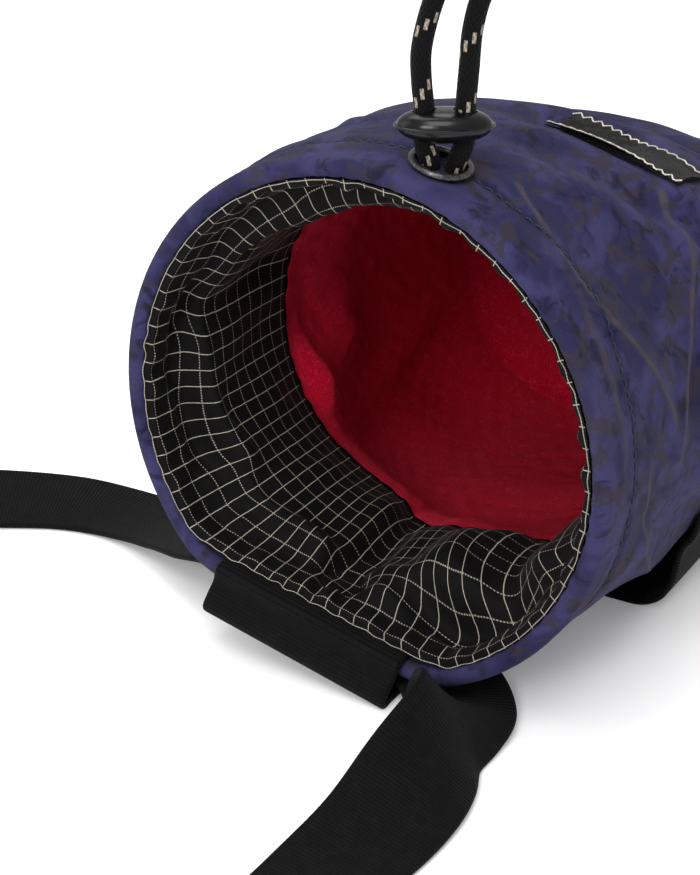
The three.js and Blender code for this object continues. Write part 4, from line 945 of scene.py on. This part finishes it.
class ChalkBagSettings(PropertyGroup):
    """Sizes and colours that a user would change."""

    def tint(name, text, value):
        return FloatVectorProperty(name=name, description=text, subtype="COLOR", size=3, min=0, max=1,
                                   default=value)

    shell_light: tint("Print light", "Lighter violet of the shell's print", (0.04, 0.037, 0.105))
    shell_deep: tint("Print deep", "Deeper indigo of the shell's print", (0.021, 0.02, 0.062))
    shell_brown: tint("Print brown", "Grey-brown patches of the shell's print", (0.034, 0.028, 0.036))
    # Also used as painted shade in creases and between threads.
    shell_navy_print_and_shade: tint("Print navy", "Darkest patches of the shell's print", (0.007, 0.007, 0.017))
    # Painted highlight along the ridges of the folds.
    shell_ridge_highlight: tint("Ridge highlight", "Painted highlight along the ridges of the cloth", (0.062, 0.052, 0.058))
    ripstop_black: tint("Ripstop", "Ground of the ripstop sleeve", (0.0035, 0.0033, 0.0035))
    ripstop_cream: tint("Ripstop grid", "Lines of the ripstop's grid", (0.5, 0.45, 0.37))
    fleece_red: tint("Fleece", "Pile of the fleece", (0.78, 0.006, 0.045))
    # Painted shade between the tufts; also darkens broad random patches.
    fleece_tuft_shade_and_tone: tint("Fleece depth", "Between the tufts of the fleece", (0.38, 0.002, 0.014))
    # Painted highlight on the tips of the pile.
    fleece_tip_highlight: tint("Fleece tips", "Tips of the pile", (0.95, 0.04, 0.12))
    webbing_black: tint("Webbing", "Belt and loops", (0.0042, 0.0042, 0.0046))
    cord_black: tint("Cord", "Braid of the draw cord", (0.003, 0.003, 0.0036))
    cord_tracer: tint("Cord tracer", "Tracer stitches of the draw cord", (0.34, 0.29, 0.23))
    plastic_black: tint("Plastic", "Cord lock and buckle", (0.002, 0.002, 0.0023))
    seam_thread: tint("Seam thread", "Thread of the shell's seam", (0.008, 0.02, 0.042))
    edge_thread: tint("Label thread", "Zig-zag thread round the label", (0.72, 0.68, 0.6))
    wrinkle: FloatProperty(name="Wrinkle height", description="Height of the small wrinkles of the shell",
                           unit="LENGTH", default=0.00045, min=0, max=0.002)
    pucker: FloatProperty(name="Gather height", description="Height of the gathers in the draw-cord channel",
                          unit="LENGTH", default=0.0009, min=0, max=0.003)


class ChalkBagOperator:
    bl_options = {"REGISTER", "UNDO"}

    @property
    def settings(self):
        return bpy.context.scene.chalk_bag


# The photo's camera: angles in degrees, distances in metres, focal length and height in pixels
VIEW_AZIMUTH = 31
VIEW_ELEVATION = 25
VIEW_DISTANCE = 0.407
VIEW_SHIFT = 0.00075
FOCAL_PIXELS = 1900
PICTURE_PIXELS = 875
SENSOR_HEIGHT = 24.0

# Name, place, size and power of each lamp
LAMPS = (
    ("key", (0.25, -0.75, 1.15), 0.7, 8.0), ("top", (-0.35, 0.2, 1.3), 0.9, 8.0),
    ("left", (-1.1, -0.6, 0.7), 0.8, 2.5), ("front", (0.1, -1.15, 0.62), 0.35, 5.0),
)


class BAG_OT_stage(ChalkBagOperator, Operator):
    """Place the camera, the pale floor and the soft lights"""
    bl_idname = "chalk_bag.stage"
    bl_label = "Camera and stage"

    def execute(self, context):
        scene = context.scene
        az, el = VIEW_AZIMUTH * RAD, VIEW_ELEVATION * RAD
        back = Vector((math.sin(az) * math.cos(el), -math.cos(az) * math.cos(el), math.sin(el)))
        right = Vector((math.cos(az), math.sin(az), 0))
        up = back.cross(right)
        centre = Vector((0, -REST_BACK * MM, AXIS_HEIGHT * MM))
        camera = bpy.data.objects.new("camera", bpy.data.cameras.new("camera"))
        camera.data.sensor_fit = "VERTICAL"
        camera.data.sensor_height = SENSOR_HEIGHT
        camera.data.lens = FOCAL_PIXELS * SENSOR_HEIGHT / PICTURE_PIXELS
        camera.data.clip_start = 0.01
        camera.data.clip_end = 50
        camera.location = centre + back * VIEW_DISTANCE + up * VIEW_SHIFT
        camera.rotation_euler = back.to_track_quat("Z", "Y").to_euler()
        scene.collection.objects.link(camera)
        scene.camera = camera
        self.make_floor()
        self.make_lights(scene, centre)
        scene.view_settings.view_transform = "Standard"
        return {"FINISHED"}

    def make_floor(self):
        mesh = bpy.data.meshes.new("floor")
        mesh.from_pydata([(-4, -4, 0), (4, -4, 0), (4, 4, 0), (-4, 4, 0)], [], [(0, 1, 2, 3)])
        floor = add_object("floor", mesh)
        material, s, shader = new_material("studio_floor")
        worn = s.group(wear_group(), Place=s.place(), Size=90.0).outputs
        s.set(shader, "Base Color", s.blend(worn["Broad"], (0.95, 0.95, 0.95, 1), (0.97, 0.97, 0.97, 1)))
        s.set(shader, "Roughness", s.span(worn["Fine"], 0.3, 0.7, 0.8, 0.9))
        shader.inputs["Specular IOR Level"].default_value = 0.1
        shader.inputs["Emission Color"].default_value = (1, 1, 1, 1)
        shader.inputs["Emission Strength"].default_value = 0.12
        floor.data.materials.append(material)

    def make_lights(self, scene, centre):
        world = bpy.data.worlds.new("studio")
        world.use_nodes = True
        world.node_tree.nodes["Background"].inputs[0].default_value = (1, 1, 1, 1)
        world.node_tree.nodes["Background"].inputs[1].default_value = 0.62
        scene.world = world
        for name, place, size, power in LAMPS:
            light = bpy.data.lights.new(name, "AREA")
            light.shape = "SQUARE"
            light.size = size
            light.energy = power
            lamp = bpy.data.objects.new(name, light)
            lamp.location = Vector(place)
            lamp.rotation_euler = (lamp.location - centre).to_track_quat("Z", "Y").to_euler()
            scene.collection.objects.link(lamp)


class BAG_OT_cord(ChalkBagOperator, Operator):
    """Lay the draw cord out of the eyelet and back, with its lock and the eyelet"""
    bl_idname = "chalk_bag.cord"
    bl_label = "Draw cord, lock and eyelet"

    def execute(self, context):
        settings = self.settings
        route = cord_line()
        line = catmull(route, np.linspace(0, 1, 420))
        cord = tube("draw_cord_braid", line, CORD_DIAMETER / 2, sides=40)
        cap_ends(cord)
        cord.data.polygons.foreach_set("use_smooth", [True] * len(cord.data.polygons))
        finish_piece(cord, material_named("braided_cord", cord_braid, settings), "cord", "draw_cord")
        lock = make_lock(settings)
        plastic = material_named("glossy_plastic", moulded_plastic, settings, "glossy_plastic", 0.17, 0.15)
        finish_piece(lock, plastic, "lock_plastic", "cord_lock")
        path = [tuple(p) for p in to_world(catmull(route, np.linspace(0, 1, 120))).tolist()]
        self.make_eyelet(settings)
        return {"FINISHED"}

    def make_eyelet(self, settings):
        here, turn, back, out = surface_frame(EYELET_ANGLE, EYELET_BACK / BAG_DEPTH)
        inner, outer, seat, lip = EYELET_HOLE / 2, EYELET_OUTER / 2, 0.7, 0.9
        profile = [(inner, -2.0), (inner, -0.5), (inner, 0.5), (inner + 0.05, seat + 0.6 * lip),
                   (inner + 0.3, seat + 0.92 * lip), (inner + 0.7, seat + lip),
                   (outer - 0.5, seat + 0.85 * lip),
                   (outer - 0.15, seat + 0.5 * lip), (outer, seat), (outer - 0.2, seat - 0.35),
                   (inner + 0.6, seat - 0.35), (inner + 0.5, -2.0), (inner, -2.0)]
        angles = np.arange(72) * 2 * math.pi / 72
        ring = np.array([[here + turn * r * math.cos(a) + back * r * math.sin(a) + out * h for a in angles]
                         for r, h in profile])
        uv = np.stack(np.meshgrid(np.arange(73) * 0.6, np.arange(len(profile)) * 0.5), -1)
        eyelet = skin("eyelet_ring", ring, uv, closed=True)
        finish_piece(eyelet, material_named("gunmetal", eyelet_metal), "eyelet_metal", "eyelet")


class BAG_OT_shell(ChalkBagOperator, Operator):
    """Make the fabric shell with its hem, seams and base"""
    bl_idname = "chalk_bag.shell"
    bl_label = "Shell and base"

    def execute(self, context):
        settings = self.settings
        cloth = material_named("shell_print", shell_cloth, settings)
        angles = np.linspace(-180, 180, SHELL_COLUMNS, endpoint=False)
        front = np.concatenate([np.linspace(HEM_ROUND, 20, 44), np.linspace(20, 60, 60)[1:],
                                np.linspace(60, BAG_DEPTH, 90)[1:]])
        at = front / BAG_DEPTH
        outside = shell_point(angles[None, :], at[:, None])
        height, ridge, crease_shade = self.relief(angles[None, :], front[:, None], settings)
        normal = normals_of(outside)
        outside = outside + normal * height[..., None]
        rim = shell_point(angles, HEM_ROUND / BAG_DEPTH)
        rim = rim + normal[0] * height[0][:, None]
        inward = -unit(np.stack([normal[0][:, 0], 0 * angles, normal[0][:, 2]], -1))
        hem = []
        puckers = 0.07 * ripple(5, angles, 0.0, (50, 110), (1000, 2000))
        for turn in np.linspace(0, math.pi, 15)[1:][::-1]:
            width = HEM_ROUND + puckers * (1 - math.cos(turn)) / 2
            ring = rim + inward * (width * (1 - math.cos(turn)))[:, None]
            ring[:, 1] = HEM_ROUND * (1 - math.sin(turn)) + 0.25 * puckers
            hem.append(ring)
        deep = [hem[0] + np.array([0, d, 0]) for d in (9.0, 6.0, 3.0, 1.2)]
        last = outside[-1]
        middle = last.mean(0)
        turned = [middle + (last - middle) * s + np.array([0, d, 0]) for s, d in
                  ((0.997, 0.45), (0.985, 0.75), (0.97, 0.6), (0.962, 0.1), (0.96, -0.8))]
        points = np.concatenate([np.array(deep), np.array(hem), outside, np.array(turned)], 0)
        points[..., 2] = np.maximum(points[..., 2], 0.02)
        along = np.concatenate([-9 - np.array([9, 6, 3, 1.2]), -np.linspace(0, 6.9, 15)[1:][::-1],
                                front - HEM_ROUND,
                                front[-1] + np.array([0, 1, 2, 3, 4])])
        u = np.linspace(-180, 180, SHELL_COLUMNS + 1) * RAD * MOUTH_RADIUS
        uv = np.stack(np.broadcast_arrays(u[None, :], along[:, None]), -1)
        before = len(deep) + len(hem)

        def padded(values):
            return np.concatenate([np.repeat(values[:1], before, 0), values, np.repeat(values[-1:], 5, 0)], 0)

        shell = skin("shell_cloth", points, uv, closed=True, flip=True,
                     values={"ridge": padded(ridge), "crease_shade": padded(crease_shade)})
        finish_piece(shell, cloth, "shell_fabric", "shell")
        self.make_base(cloth, last)
        self.make_seam(settings, angles, front, outside, normal)
        return {"FINISHED"}

    def relief(self, angle, y, settings):
        """Height of the small wrinkles, and where ridges get a painted highlight and creases a painted shade.
        """
        size = settings.wrinkle / MM
        soft = ripple(11, angle, y, (2, 9), (30, 90))
        fine = ripple(12, angle, y, (3, 22), (14, 40))
        bands = ripple(13, angle, y, (1, 5), (5, 11))
        near = np.exp(-((y - 8) / 9) ** 2)
        side = 0.35 + 0.65 * smooth((np.cos((angle - 110) * RAD) + 0.2) / 0.9)
        height = size * (0.8 * soft + 0.45 * fine) * smooth(y / 14) + size * 0.55 * bands * near * side
        groove = np.exp(-((y - SEAM_BACK) / 0.9) ** 2)
        beside = np.exp(-((y - SEAM_BACK) / 3) ** 2)
        height = height - 0.4 * groove + 0.12 * ripple(14, angle, y, (60, 110), (6, 12)) * beside
        crest = np.clip(0.5 + 0.9 * bands, 0, 1) * near * side
        folds, sharp = cloth_folds(angle, y)
        height = height + folds
        # Masks for the painted highlight on ridges and the painted shade in the seam's groove.
        ridge = np.clip(np.maximum(crest * 0.7, sharp), 0, 1)
        crease_shade = np.clip(groove * 0.7, 0, 1)
        return height, ridge + 0 * angle, crease_shade + 0 * angle

    def make_base(self, cloth, edge):
        """Round panel that closes the far end, inside the turned edge of the shell."""
        middle = edge.mean(0)
        shares = np.linspace(0.03, 0.957, 46)
        angles = np.linspace(-180, 180, len(edge), endpoint=False)
        rows = []
        for share in shares:
            ring = middle + (edge - middle) * share
            ring[:, 1] += -0.6 + 3 * (1 - share * share) - 1.2 * smooth((share - 0.9) / 0.057)
            sag = ripple(21, angles, share * 50, (1, 6), (30, 60))
            ring[:, 1] += 0.5 * sag * smooth((0.95 - share) / 0.2)
            rows.append(ring)
        points = np.array(rows)
        points[..., 2] = np.maximum(points[..., 2], 0.02)
        offset = points - middle
        uv = np.stack([np.concatenate([offset[..., 0], offset[:, :1, 0]], 1),
                       np.concatenate([offset[..., 2], offset[:, :1, 2]], 1)], -1)
        # Painted shade where the panel's rim tucks under the turned edge.
        panel = skin("base_cloth", points, uv, closed=True, flip=True,
                     values={"ridge": np.zeros(points.shape[:2]), "crease_shade": np.repeat(
                         smooth((shares - 0.93) / 0.03)[:, None], len(edge), 1)})
        bm = bmesh.new()
        bm.from_mesh(panel.data)
        hub = Vector((middle[0] * MM, middle[2] * MM))
        edges = [e for e in bm.edges if e.is_boundary and (e.verts[0].co.xz - hub).length < 0.012]
        bmesh.ops.holes_fill(bm, edges=edges, sides=0)
        bm.to_mesh(panel.data)
        bm.free()
        finish_piece(panel, cloth, "shell_fabric", "base_panel")

    def make_seam(self, settings, angles, front, outside, normal):
        """Row of dark stitches that closes the draw-cord channel."""
        row = int(np.argmin(np.abs(front - SEAM_BACK)))
        line = outside[row] + normal[row] * 0.08
        line = np.concatenate([line, line[:1]], 0)
        length = np.concatenate([[0], np.cumsum(np.linalg.norm(np.diff(line, axis=0), axis=1))])
        around = np.concatenate([normal[row], normal[row][:1]], 0)
        count = int(length[-1] / STITCH_PITCH)
        pieces = []
        for k in range(count):
            start = length[-1] * k / count
            spots = start + np.linspace(0.1, 2.5, 7)
            spots = np.minimum(spots, length[-1])
            stitch = np.stack([np.interp(spots, length, line[:, a]) for a in range(3)], -1)
            out = np.stack([np.interp(spots, length, around[:, a]) for a in range(3)], -1)
            bow = np.sin(np.linspace(0, math.pi, 7))
            stitch = stitch + out * (-0.2 + 0.38 * bow)[:, None]
            pieces.append(tube("stitch", stitch, 0.1 + 0.12 * bow ** 0.5, sides=7))
        seam = join(pieces, "shell_seam_thread")
        finish_piece(seam, thread_named("seam_thread", settings.seam_thread), "shell_fabric")


def join(pieces, name):
    """Joins several objects into the mesh of one."""
    vertices, faces, uvs = [], [], []
    for piece in pieces:
        base = len(vertices)
        mesh = piece.data
        vertices.extend(tuple(v.co) for v in mesh.vertices)
        faces.extend(tuple(base + i for i in p.vertices) for p in mesh.polygons)
        layer = mesh.uv_layers[0].data
        uvs.extend(value for loop in layer for value in loop.uv)
        bpy.data.objects.remove(piece)
        bpy.data.meshes.remove(mesh)
    mesh = bpy.data.meshes.new(name)
    mesh.from_pydata(vertices, [], faces)
    mesh.uv_layers.new(name="UVMap").data.foreach_set("uv", uvs)
    mesh.polygons.foreach_set("use_smooth", [True] * len(mesh.polygons))
    mesh.update()
    return add_object(name, mesh)


class BAG_OT_collar(ChalkBagOperator, Operator):
    """Make the gathered ripstop sleeve inside the mouth"""
    bl_idname = "chalk_bag.collar"
    bl_label = "Ripstop collar"

    def execute(self, context):
        settings = self.settings
        cloth = material_named("ripstop_grid", ripstop_cloth, settings)
        angles = np.linspace(0, 360, SLEEVE_COLUMNS, endpoint=False)
        stations = np.concatenate([np.linspace(0, 0.22, 26), np.linspace(0.22, 1, 110)[1:]])
        points = collar_point(angles[None, :], stations[:, None])
        normal = -normals_of(points)
        place = stations[:, None] + 0 * angles[None, :]
        size = settings.pucker / MM
        gathers = ripple(31, angles[None, :], place * 20, (26, 58), (60, 200))
        channel = np.sin(np.clip(place / 0.3, 0, 1) * math.pi) ** 0.8
        sleeve = smooth((place - 0.2) / 0.15) * smooth((1.0 - place) / 0.1)
        drape = ripple(32, angles[None, :], place * 60, (4, 13), (18, 50))
        fine = ripple(33, angles[None, :], place * 60, (9, 30), (9, 26))
        height = size * (0.75 * gathers * channel + sleeve * (1.0 * drape + 0.4 * fine))
        points = points + normal * np.minimum(height, 1.6)[..., None]
        flare = (1.55 * (1 - smooth(place / 0.045)))[..., None]
        points = points + spoke(angles)[None] * flare
        step = np.linalg.norm(np.diff(points, axis=0), axis=2).mean(1)
        along = np.concatenate([[0], np.cumsum(step)])
        u = np.linspace(0, 1, SLEEVE_COLUMNS + 1) * GRID_LINES * GRID_PITCH
        uv = np.stack(np.broadcast_arrays(u[None, :], along[:, None]), -1)
        collar = skin("ripstop_sleeve", points, uv, closed=True, flip=False)
        finish_piece(collar, cloth, "ripstop", "collar")
        edge = points[1] + normal[1] * 0.15
        wave = 0.35 * ripple(35, angles, 0.0, (30, 90), (900, 1000))
        edge[:, 1] += -0.5 + wave
        edge = np.concatenate([edge, edge[:1]], 0)
        thread = tube("ripstop_edge_thread", edge, 0.1, sides=6)
        finish_piece(thread, thread_named("ripstop_thread", settings.ripstop_cream), "ripstop")
        return {"FINISHED"}


class BAG_OT_fleece(ChalkBagOperator, Operator):
    """Make the fleece pouch"""
    bl_idname = "chalk_bag.fleece"
    bl_label = "Fleece pouch"

    def execute(self, context):
        settings = self.settings
        pile = material_named("fleece_pile", fleece_cloth, settings)
        angles = np.linspace(0, 360, POUCH_COLUMNS, endpoint=False)
        places = np.concatenate([np.linspace(0, 0.4, 64), np.linspace(0.4, 1, 50)[1:]])
        points = liner_point(angles[None, :], places[:, None])
        normal = -normals_of(points)
        depth = places[:, None] + 0 * angles[None, :]
        height = 0.9 * ripple(41, angles[None, :], depth * 90, (2, 8), (25, 60)) * smooth(depth / 0.12)
        height = height + 0.22 * ripple(42, angles[None, :], depth * 90, (20, 60), (5, 12))
        points = points + normal * np.minimum(height, 1.2)[..., None]
        middle = points[-1].mean(0)
        floor = [middle + (points[-1] - middle) * s + np.array([0, d, 0]) for s, d in
                 ((0.9, 1.0), (0.75, 2.0), (0.55, 2.6), (0.3, 3.0), (0.05, 3.1))]
        points = np.concatenate([points, np.array(floor)], 0)
        along = np.concatenate([places * 100, 100 + np.array([5, 12, 20, 30, 40])])
        u = np.linspace(0, 1, POUCH_COLUMNS + 1) * 300
        uv = np.stack(np.broadcast_arrays(u[None, :], along[:, None]), -1)
        liner = skin("fleece_pouch", points, uv, closed=True)
        finish_piece(liner, pile, "fleece", "liner")
        return {"FINISHED"}


def across_stations(width, count=17):
    inner = np.linspace(-width / 2 + 1.2, width / 2 - 1.2, count)
    edge = np.array([width / 2 - 0.75, width / 2 - 0.35, width / 2 - 0.1, width / 2])
    return np.concatenate([-edge[::-1], inner, edge])


class BAG_OT_webbing(ChalkBagOperator, Operator):
    """Make the belt, the belt loop and the brush loop"""
    bl_idname = "chalk_bag.webbing"
    bl_label = "Belt and loops"

    def execute(self, context):
        settings = self.settings
        cloth = material_named("ribbed_webbing", webbing_cloth, settings)
        finish_piece(self.make_loop(), cloth, "webbing", "belt_loop")
        finish_piece(self.make_brush_loop(), cloth, "webbing", "brush_loop")
        finish_piece(self.make_belt(), cloth, "webbing", "belt")
        return {"FINISHED"}

    def make_loop(self):
        hem = SEAT_REACH * MOUTH_RADIUS
        inside = hem - HEM_WIDTH - FIT_GAP - LOOP_WALL / 2 - 0.3
        floor = hem + 7.0
        seam = hem + FIT_GAP + LOOP_WALL / 2
        line = np.array([
            (5.0, inside), (2.0, inside), (-0.9 - LOOP_WALL / 2, inside + 1.0),
            (-1.2 - LOOP_WALL / 2, hem - 1.5),
            (-3.6, hem + 1.5), (-4.6, floor - 2.4), (-1.5, floor - 0.2), (4, floor),
            (0.45 * LOOP_LENGTH, floor), (0.78 * LOOP_LENGTH, floor - 0.8), (0.9 * LOOP_LENGTH, seam + 2.2),
            (LOOP_LENGTH, seam + 0.8),
        ])
        t = np.linspace(0, 1, 200)
        curve = catmull(line, t)
        tangent = unit(np.gradient(curve, axis=0))
        side = np.stack([-tangent[:, 1], tangent[:, 0]], -1)
        across = across_stations(LOOP_WIDTH)
        turn = LOOP_TURN * RAD

        def place(a, u, v):
            x, z = a, -v
            return np.stack([x * math.cos(turn) + z * math.sin(turn), u,
                             AXIS_HEIGHT - x * math.sin(turn) + z * math.cos(turn)], -1)

        a, u = np.broadcast_arrays(across[None, :], curve[:, :1])
        v = np.broadcast_to(curve[:, 1:2], a.shape)
        middle = place(a, u, v)
        normal = place(0 * a, np.broadcast_to(side[:, :1], a.shape), np.broadcast_to(side[:, 1:2], a.shape))
        normal = normal - np.array([0, 0, AXIS_HEIGHT])
        along = np.concatenate([[0], np.cumsum(np.linalg.norm(np.diff(curve, axis=0), axis=1))])
        return strap("belt_loop_webbing", middle, normal, LOOP_WALL, across, along)

    def make_brush_loop(self):
        lift = FIT_GAP + BRUSH_LOOP_WALL / 2 + 0.5
        across = across_stations(BRUSH_LOOP_WIDTH)
        depth = BRUSH_LOOP_BACK + BRUSH_LOOP_WIDTH / 2 + across
        t = np.linspace(0, 1, 120)
        middle, normal = [], []
        for y in depth:
            line = []
            for i, angle in enumerate((118, 123, 128)):
                p = shell_at_depth(np.array(float(angle)), np.array(y))
                out = unit(np.array([p[0], 0, p[2] - AXIS_HEIGHT]))
                line.append((p[0] + out[0] * (lift + 0.6 * i), p[2] + out[2] * (lift + 0.6 * i)))
            line += [(49.4, 8.5), (46.6, 3.6), (42.4, 1.2), (37, 0.8), (31, 0.8)]
            curve = catmull(line, t)
            tangent = unit(np.gradient(curve, axis=0))
            middle.append(np.stack([curve[:, 0], np.full(len(t), y), curve[:, 1]], -1))
            normal.append(np.stack([-tangent[:, 1], np.zeros(len(t)), tangent[:, 0]], -1))
        middle = np.stack(middle, 1)
        normal = np.stack(normal, 1)
        along = np.concatenate([[0], np.cumsum(np.linalg.norm(np.diff(middle[:, 5], axis=0), axis=1))])
        return strap("brush_loop_webbing", middle, normal, BRUSH_LOOP_WALL, across, along)

    def make_belt(self):
        turn = BUCKLE_TURN * RAD

        def buckle_end(side, beyond):
            reach = side * (BUCKLE_LENGTH / 2 + beyond)
            return np.array([reach * math.cos(turn), reach * math.sin(turn), 0]) + BUCKLE_PLACE

        rows = BELT_ROUTE[:, :3] * MOUTH_RADIUS
        rows[:, 2] += BELT_ROUTE[:, 3] * AXIS_HEIGHT
        points = np.array([buckle_end(-1, -BUCKLE_GRIP), buckle_end(-1, 0), buckle_end(-1, 6), *rows,
                           buckle_end(1, 6), buckle_end(1, 0), buckle_end(1, -BUCKLE_GRIP)])
        tips = np.array([0, 0, 0, *BELT_ROUTE[:, 4], 0, 0, 0])[:, None]
        t = np.linspace(0, 1, 700)
        line = catmull(points, t)
        tip = catmull(tips, t, even=True)[:, 0] * RAD
        tangent = unit(np.gradient(line, axis=0))
        flat = unit(np.stack([tangent[:, 1], -tangent[:, 0], 0 * tip], -1))
        width = flat * np.cos(tip)[:, None] + np.array([0, 0, 1]) * np.sin(tip)[:, None]
        up = unit(np.cross(tangent, width))
        square = unit(np.cross(up, tangent))
        across = across_stations(BELT_WIDTH)
        middle = line[:, None] + square[:, None] * across[None, :, None]
        normal = np.broadcast_to(up[:, None], middle.shape)
        along = np.concatenate([[0], np.cumsum(np.linalg.norm(np.diff(line, axis=0), axis=1))])
        return strap("belt_webbing", middle, normal, BELT_WALL, across, along)


class BAG_OT_trim(ChalkBagOperator, Operator):
    """Finish the buckle and make the label with its thread"""
    bl_idname = "chalk_bag.trim"
    bl_label = "Buckle and label"

    def execute(self, context):
        settings = self.settings
        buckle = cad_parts["buckle"]
        plastic = material_named("matt_plastic", moulded_plastic, settings, "matt_plastic", 0.38, 0.5)
        for slot in buckle.material_slots:
            slot.material = plastic
        self.make_label(settings)
        return {"FINISHED"}

    def make_label(self, settings):
        around = np.linspace(-LABEL_LENGTH / 2, LABEL_LENGTH / 2, 90)
        back = np.linspace(-LABEL_WIDTH / 2, LABEL_WIDTH / 2, 46)
        a, b = np.meshgrid(around, back)
        angle = LABEL_ANGLE + a / MOUTH_RADIUS / RAD
        at = (LABEL_BACK + b) / BAG_DEPTH
        here, turn, square, out = surface_frame(angle, at, True)
        wave = 0.35 * np.sin(a / 5.1 + 0.6) + 0.25 * np.sin(b / 3.0 + a / 9)
        top = here + out * (1.75 + 0.6 * wave)[..., None]
        bottom = here + out * (1.1 + 0.6 * wave)[..., None]
        loop = np.concatenate([top, bottom[::-1]], 0)
        u = np.concatenate([a, a[::-1]], 0)
        v = np.concatenate([b, b[::-1] + 40], 0)
        label = skin("label_patch", loop, np.stack([u, v], -1), flip=False)
        finish_piece(label, material_named("woven_label", label_cloth), "label", "label")
        pieces = []
        rng = np.random.default_rng(7)
        for row, step in ((0, 1), (-1, -1)):
            t = np.arange(0, LABEL_LENGTH, 0.09)
            column_at = t / LABEL_LENGTH * (len(around) - 1)
            zig = np.abs(np.mod(t / 1.25, 2) - 1)
            deep = (0.1 + 1.5 * zig + 0.25 * rng.normal(size=len(t)).cumsum() * 0.05)
            rows_at = deep / LABEL_WIDTH * (len(back) - 1)
            if row:
                rows_at = len(back) - 1 - rows_at
            line = self.sample(top, rows_at, column_at)
            lift = self.sample(out, rows_at, column_at)
            pieces.append(tube("zig", line + lift * 0.16, 0.19, sides=6))
        thread = join(pieces, "label_edge_thread")
        finish_piece(thread, thread_named("label_thread", settings.edge_thread), "label")

    @staticmethod
    def sample(grid, rows, cols):
        rows = np.clip(rows, 0, grid.shape[0] - 1.001)
        cols = np.clip(cols, 0, grid.shape[1] - 1.001)
        r, c = np.floor(rows).astype(int), np.floor(cols).astype(int)
        fr, fc = (rows - r)[:, None], (cols - c)[:, None]
        return (grid[r, c] * (1 - fr) * (1 - fc) + grid[r + 1, c] * fr * (1 - fc)
                + grid[r, c + 1] * (1 - fr) * fc + grid[r + 1, c + 1] * fr * fc)


class BAG_PT_panel(Panel):
    """Lists the steps that build the chalk bag"""
    bl_idname = "BAG_PT_panel"
    bl_label = "Chalk Bag"
    bl_space_type = "VIEW_3D"
    bl_region_type = "UI"
    bl_category = "Chalk Bag"

    def draw(self, context):
        for step in STEPS:
            self.layout.operator(step.bl_idname)
        for name in ChalkBagSettings.__annotations__:
            self.layout.prop(context.scene.chalk_bag, name)


STEPS = (BAG_OT_stage, BAG_OT_cord, BAG_OT_shell, BAG_OT_collar, BAG_OT_fleece, BAG_OT_webbing, BAG_OT_trim)
CLASSES = (ChalkBagSettings, *STEPS, BAG_PT_panel)


def register():
    for item in CLASSES:
        bpy.utils.register_class(item)
    bpy.types.Scene.chalk_bag = PointerProperty(type=ChalkBagSettings)


def unregister():
    del bpy.types.Scene.chalk_bag
    for item in reversed(CLASSES):
        bpy.utils.unregister_class(item)


def main():
    register()
    for step in STEPS:
        group, name = step.bl_idname.split(".")
        getattr(getattr(bpy.ops, group), name)()


if __name__ == "__main__":
    main()
